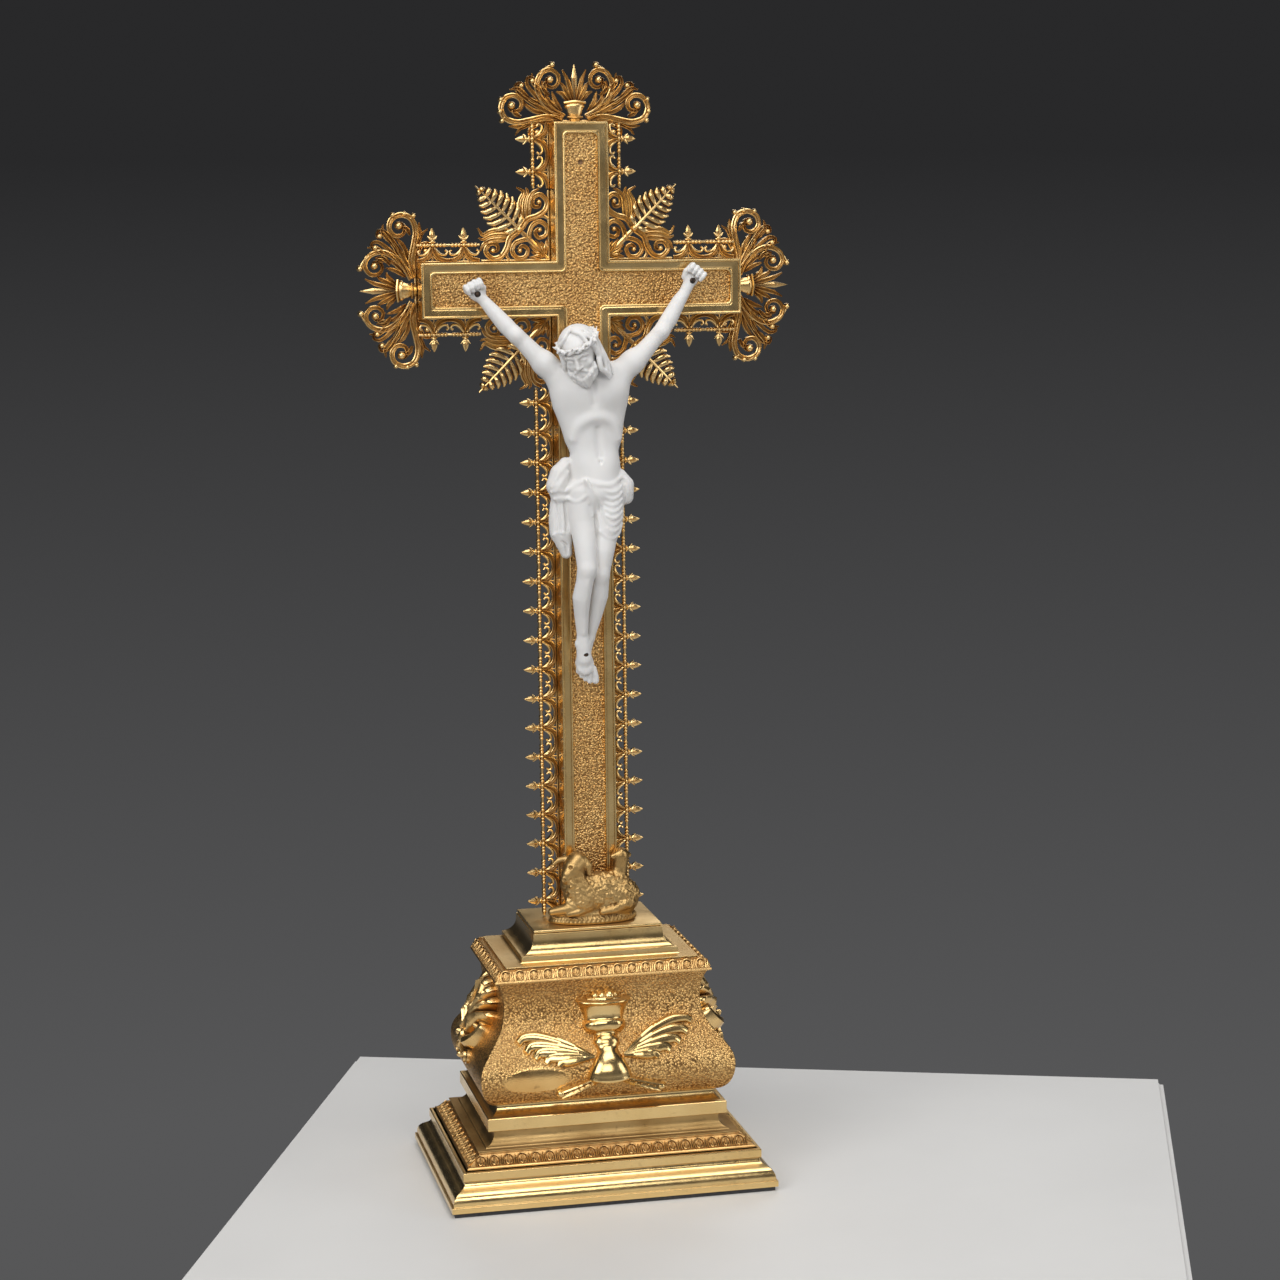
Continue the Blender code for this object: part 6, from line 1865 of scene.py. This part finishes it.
def press_lamb():
    lamb.ball((2.5, 4.2, 12.6), (14.6, 6.2, 9.0), 2.0)
    lamb.ball((12.4, 4.6, 10.6), (7.0, 5.6, 8.0), 1.6)
    lamb.limb([(-5.4, 4.6, 11.0, 7.0), (-8.6, 5.0, 17.0, 5.8), (-8.6, 5.4, 22.0, 4.8)], 2.0)
    lamb.limb([(-7.4, 5.4, 26.4, 4.6), (-9.4, 7.0, 24.8, 4.2), (-11.8, 8.4, 22.2, 2.9),
               (-13.0, 9.0, 20.4, 2.1)], 1.2)
    lamb.limb([(-4.6, 6.6, 28.0, 1.6), (-3.0, 7.6, 25.2, 1.9), (-2.6, 7.6, 21.6, 1.0)], 0.5)
    lamb.limb([(-11.6, 5.0, 28.0, 1.3), (-15.2, 5.0, 27.6, 1.3), (-17.4, 5.0, 26.0, 0.7)], 0.5)
    lamb.ball((-11.2, 10.6, 25.4), (0.8, 0.7, 0.7), 0.4, carve=True)
    lamb.ball((-14.0, 10.6, 20.4), (0.6, 0.6, 0.5), 0.4, carve=True)
    lamb.fold([(-14.2, 19.4), (-12.8, 19.0), (-11.4, 20.0)], 0.45, 0.3, -0.2, carve=True)
    lamb.limb([(10.6, 2.6, 17.0, 4.0), (11.6, 2.6, 23.0, 3.4), (12.0, 2.8, 27.6, 3.6)], 1.2)
    lamb.limb([(8.4, 3.6, 27.6, 1.2), (12.0, 4.6, 29.4, 1.4), (15.6, 3.2, 27.8, 1.0)], 0.5)
    lamb.limb([(-7.0, 7.4, 9.0, 3.2), (-13.0, 8.0, 7.2, 2.2), (-18.6, 6.4, 6.0, 1.6)], 0.9)
    lamb.limb([(-3.0, 8.6, 8.0, 2.2), (-8.0, 9.4, 6.0, 1.7), (-12.0, 9.0, 5.2, 1.3)], 0.7)
    lamb.limb([(14.0, 8.2, 8.6, 2.6), (8.6, 9.4, 6.4, 1.8), (2.6, 9.6, 5.4, 1.4)], 0.7)


press_mound()
press_lamb()
print("Cells of clay in the lamb:", int((lamb.field < 0).sum()))

# %% [markdown]
# The fleece is a crowd of small curls: short hooked ridges laid on the front of the clay. Then
# the clay is cut flat behind and below, so that it sits on the plate and against the cross.

# %% Curl the fleece and set the lamb
def press_fleece():
    rng = np.random.default_rng(23)
    placed = 0
    while placed < 190:
        x, z = rng.uniform(-14.0, 18.5), rng.uniform(6.5, 23.0)
        on_body = ((x - 3.0) / 15.4) ** 2 + ((z - 12.4) / 8.6) ** 2 < 1
        on_neck = ((x + 8.0) / 5.6) ** 2 + ((z - 15.0) / 6.5) ** 2 < 1
        if not (on_body or on_neck):
            continue
        start, size = rng.uniform(0, 2 * math.pi), rng.uniform(0.7, 1.15)
        curl = [(x + size * math.cos(start + a), z + size * math.sin(start + a))
                for a in np.linspace(0, 3.9, 6)]
        lamb.fold(curl, (0.3, 0.5, 0.36), 0.5, 0.35, gap=0.7)
        placed += 1


def add_lamb():
    press_fleece()
    y_back, z_base = lamb_high[1], lamb_low[2]
    lamb.flatten_back(0.0)
    up = lamb.low[2] + lamb.step * np.arange(lamb.field.shape[2], dtype=np.float32)
    lamb.field = np.maximum(lamb.field, -up[None, None, :])
    verts, faces = lamb.skin()
    spot = np.column_stack((verts[:, 0], y_back - verts[:, 1], z_base + verts[:, 2]))
    add_piece("lamb", spot, faces, "gilt_pierced", sharp=180.0, coat="gilt_cast")


add_lamb()

# %% [markdown]
# ## Size
# The dressed cross has to fill the same room as the CAD model.
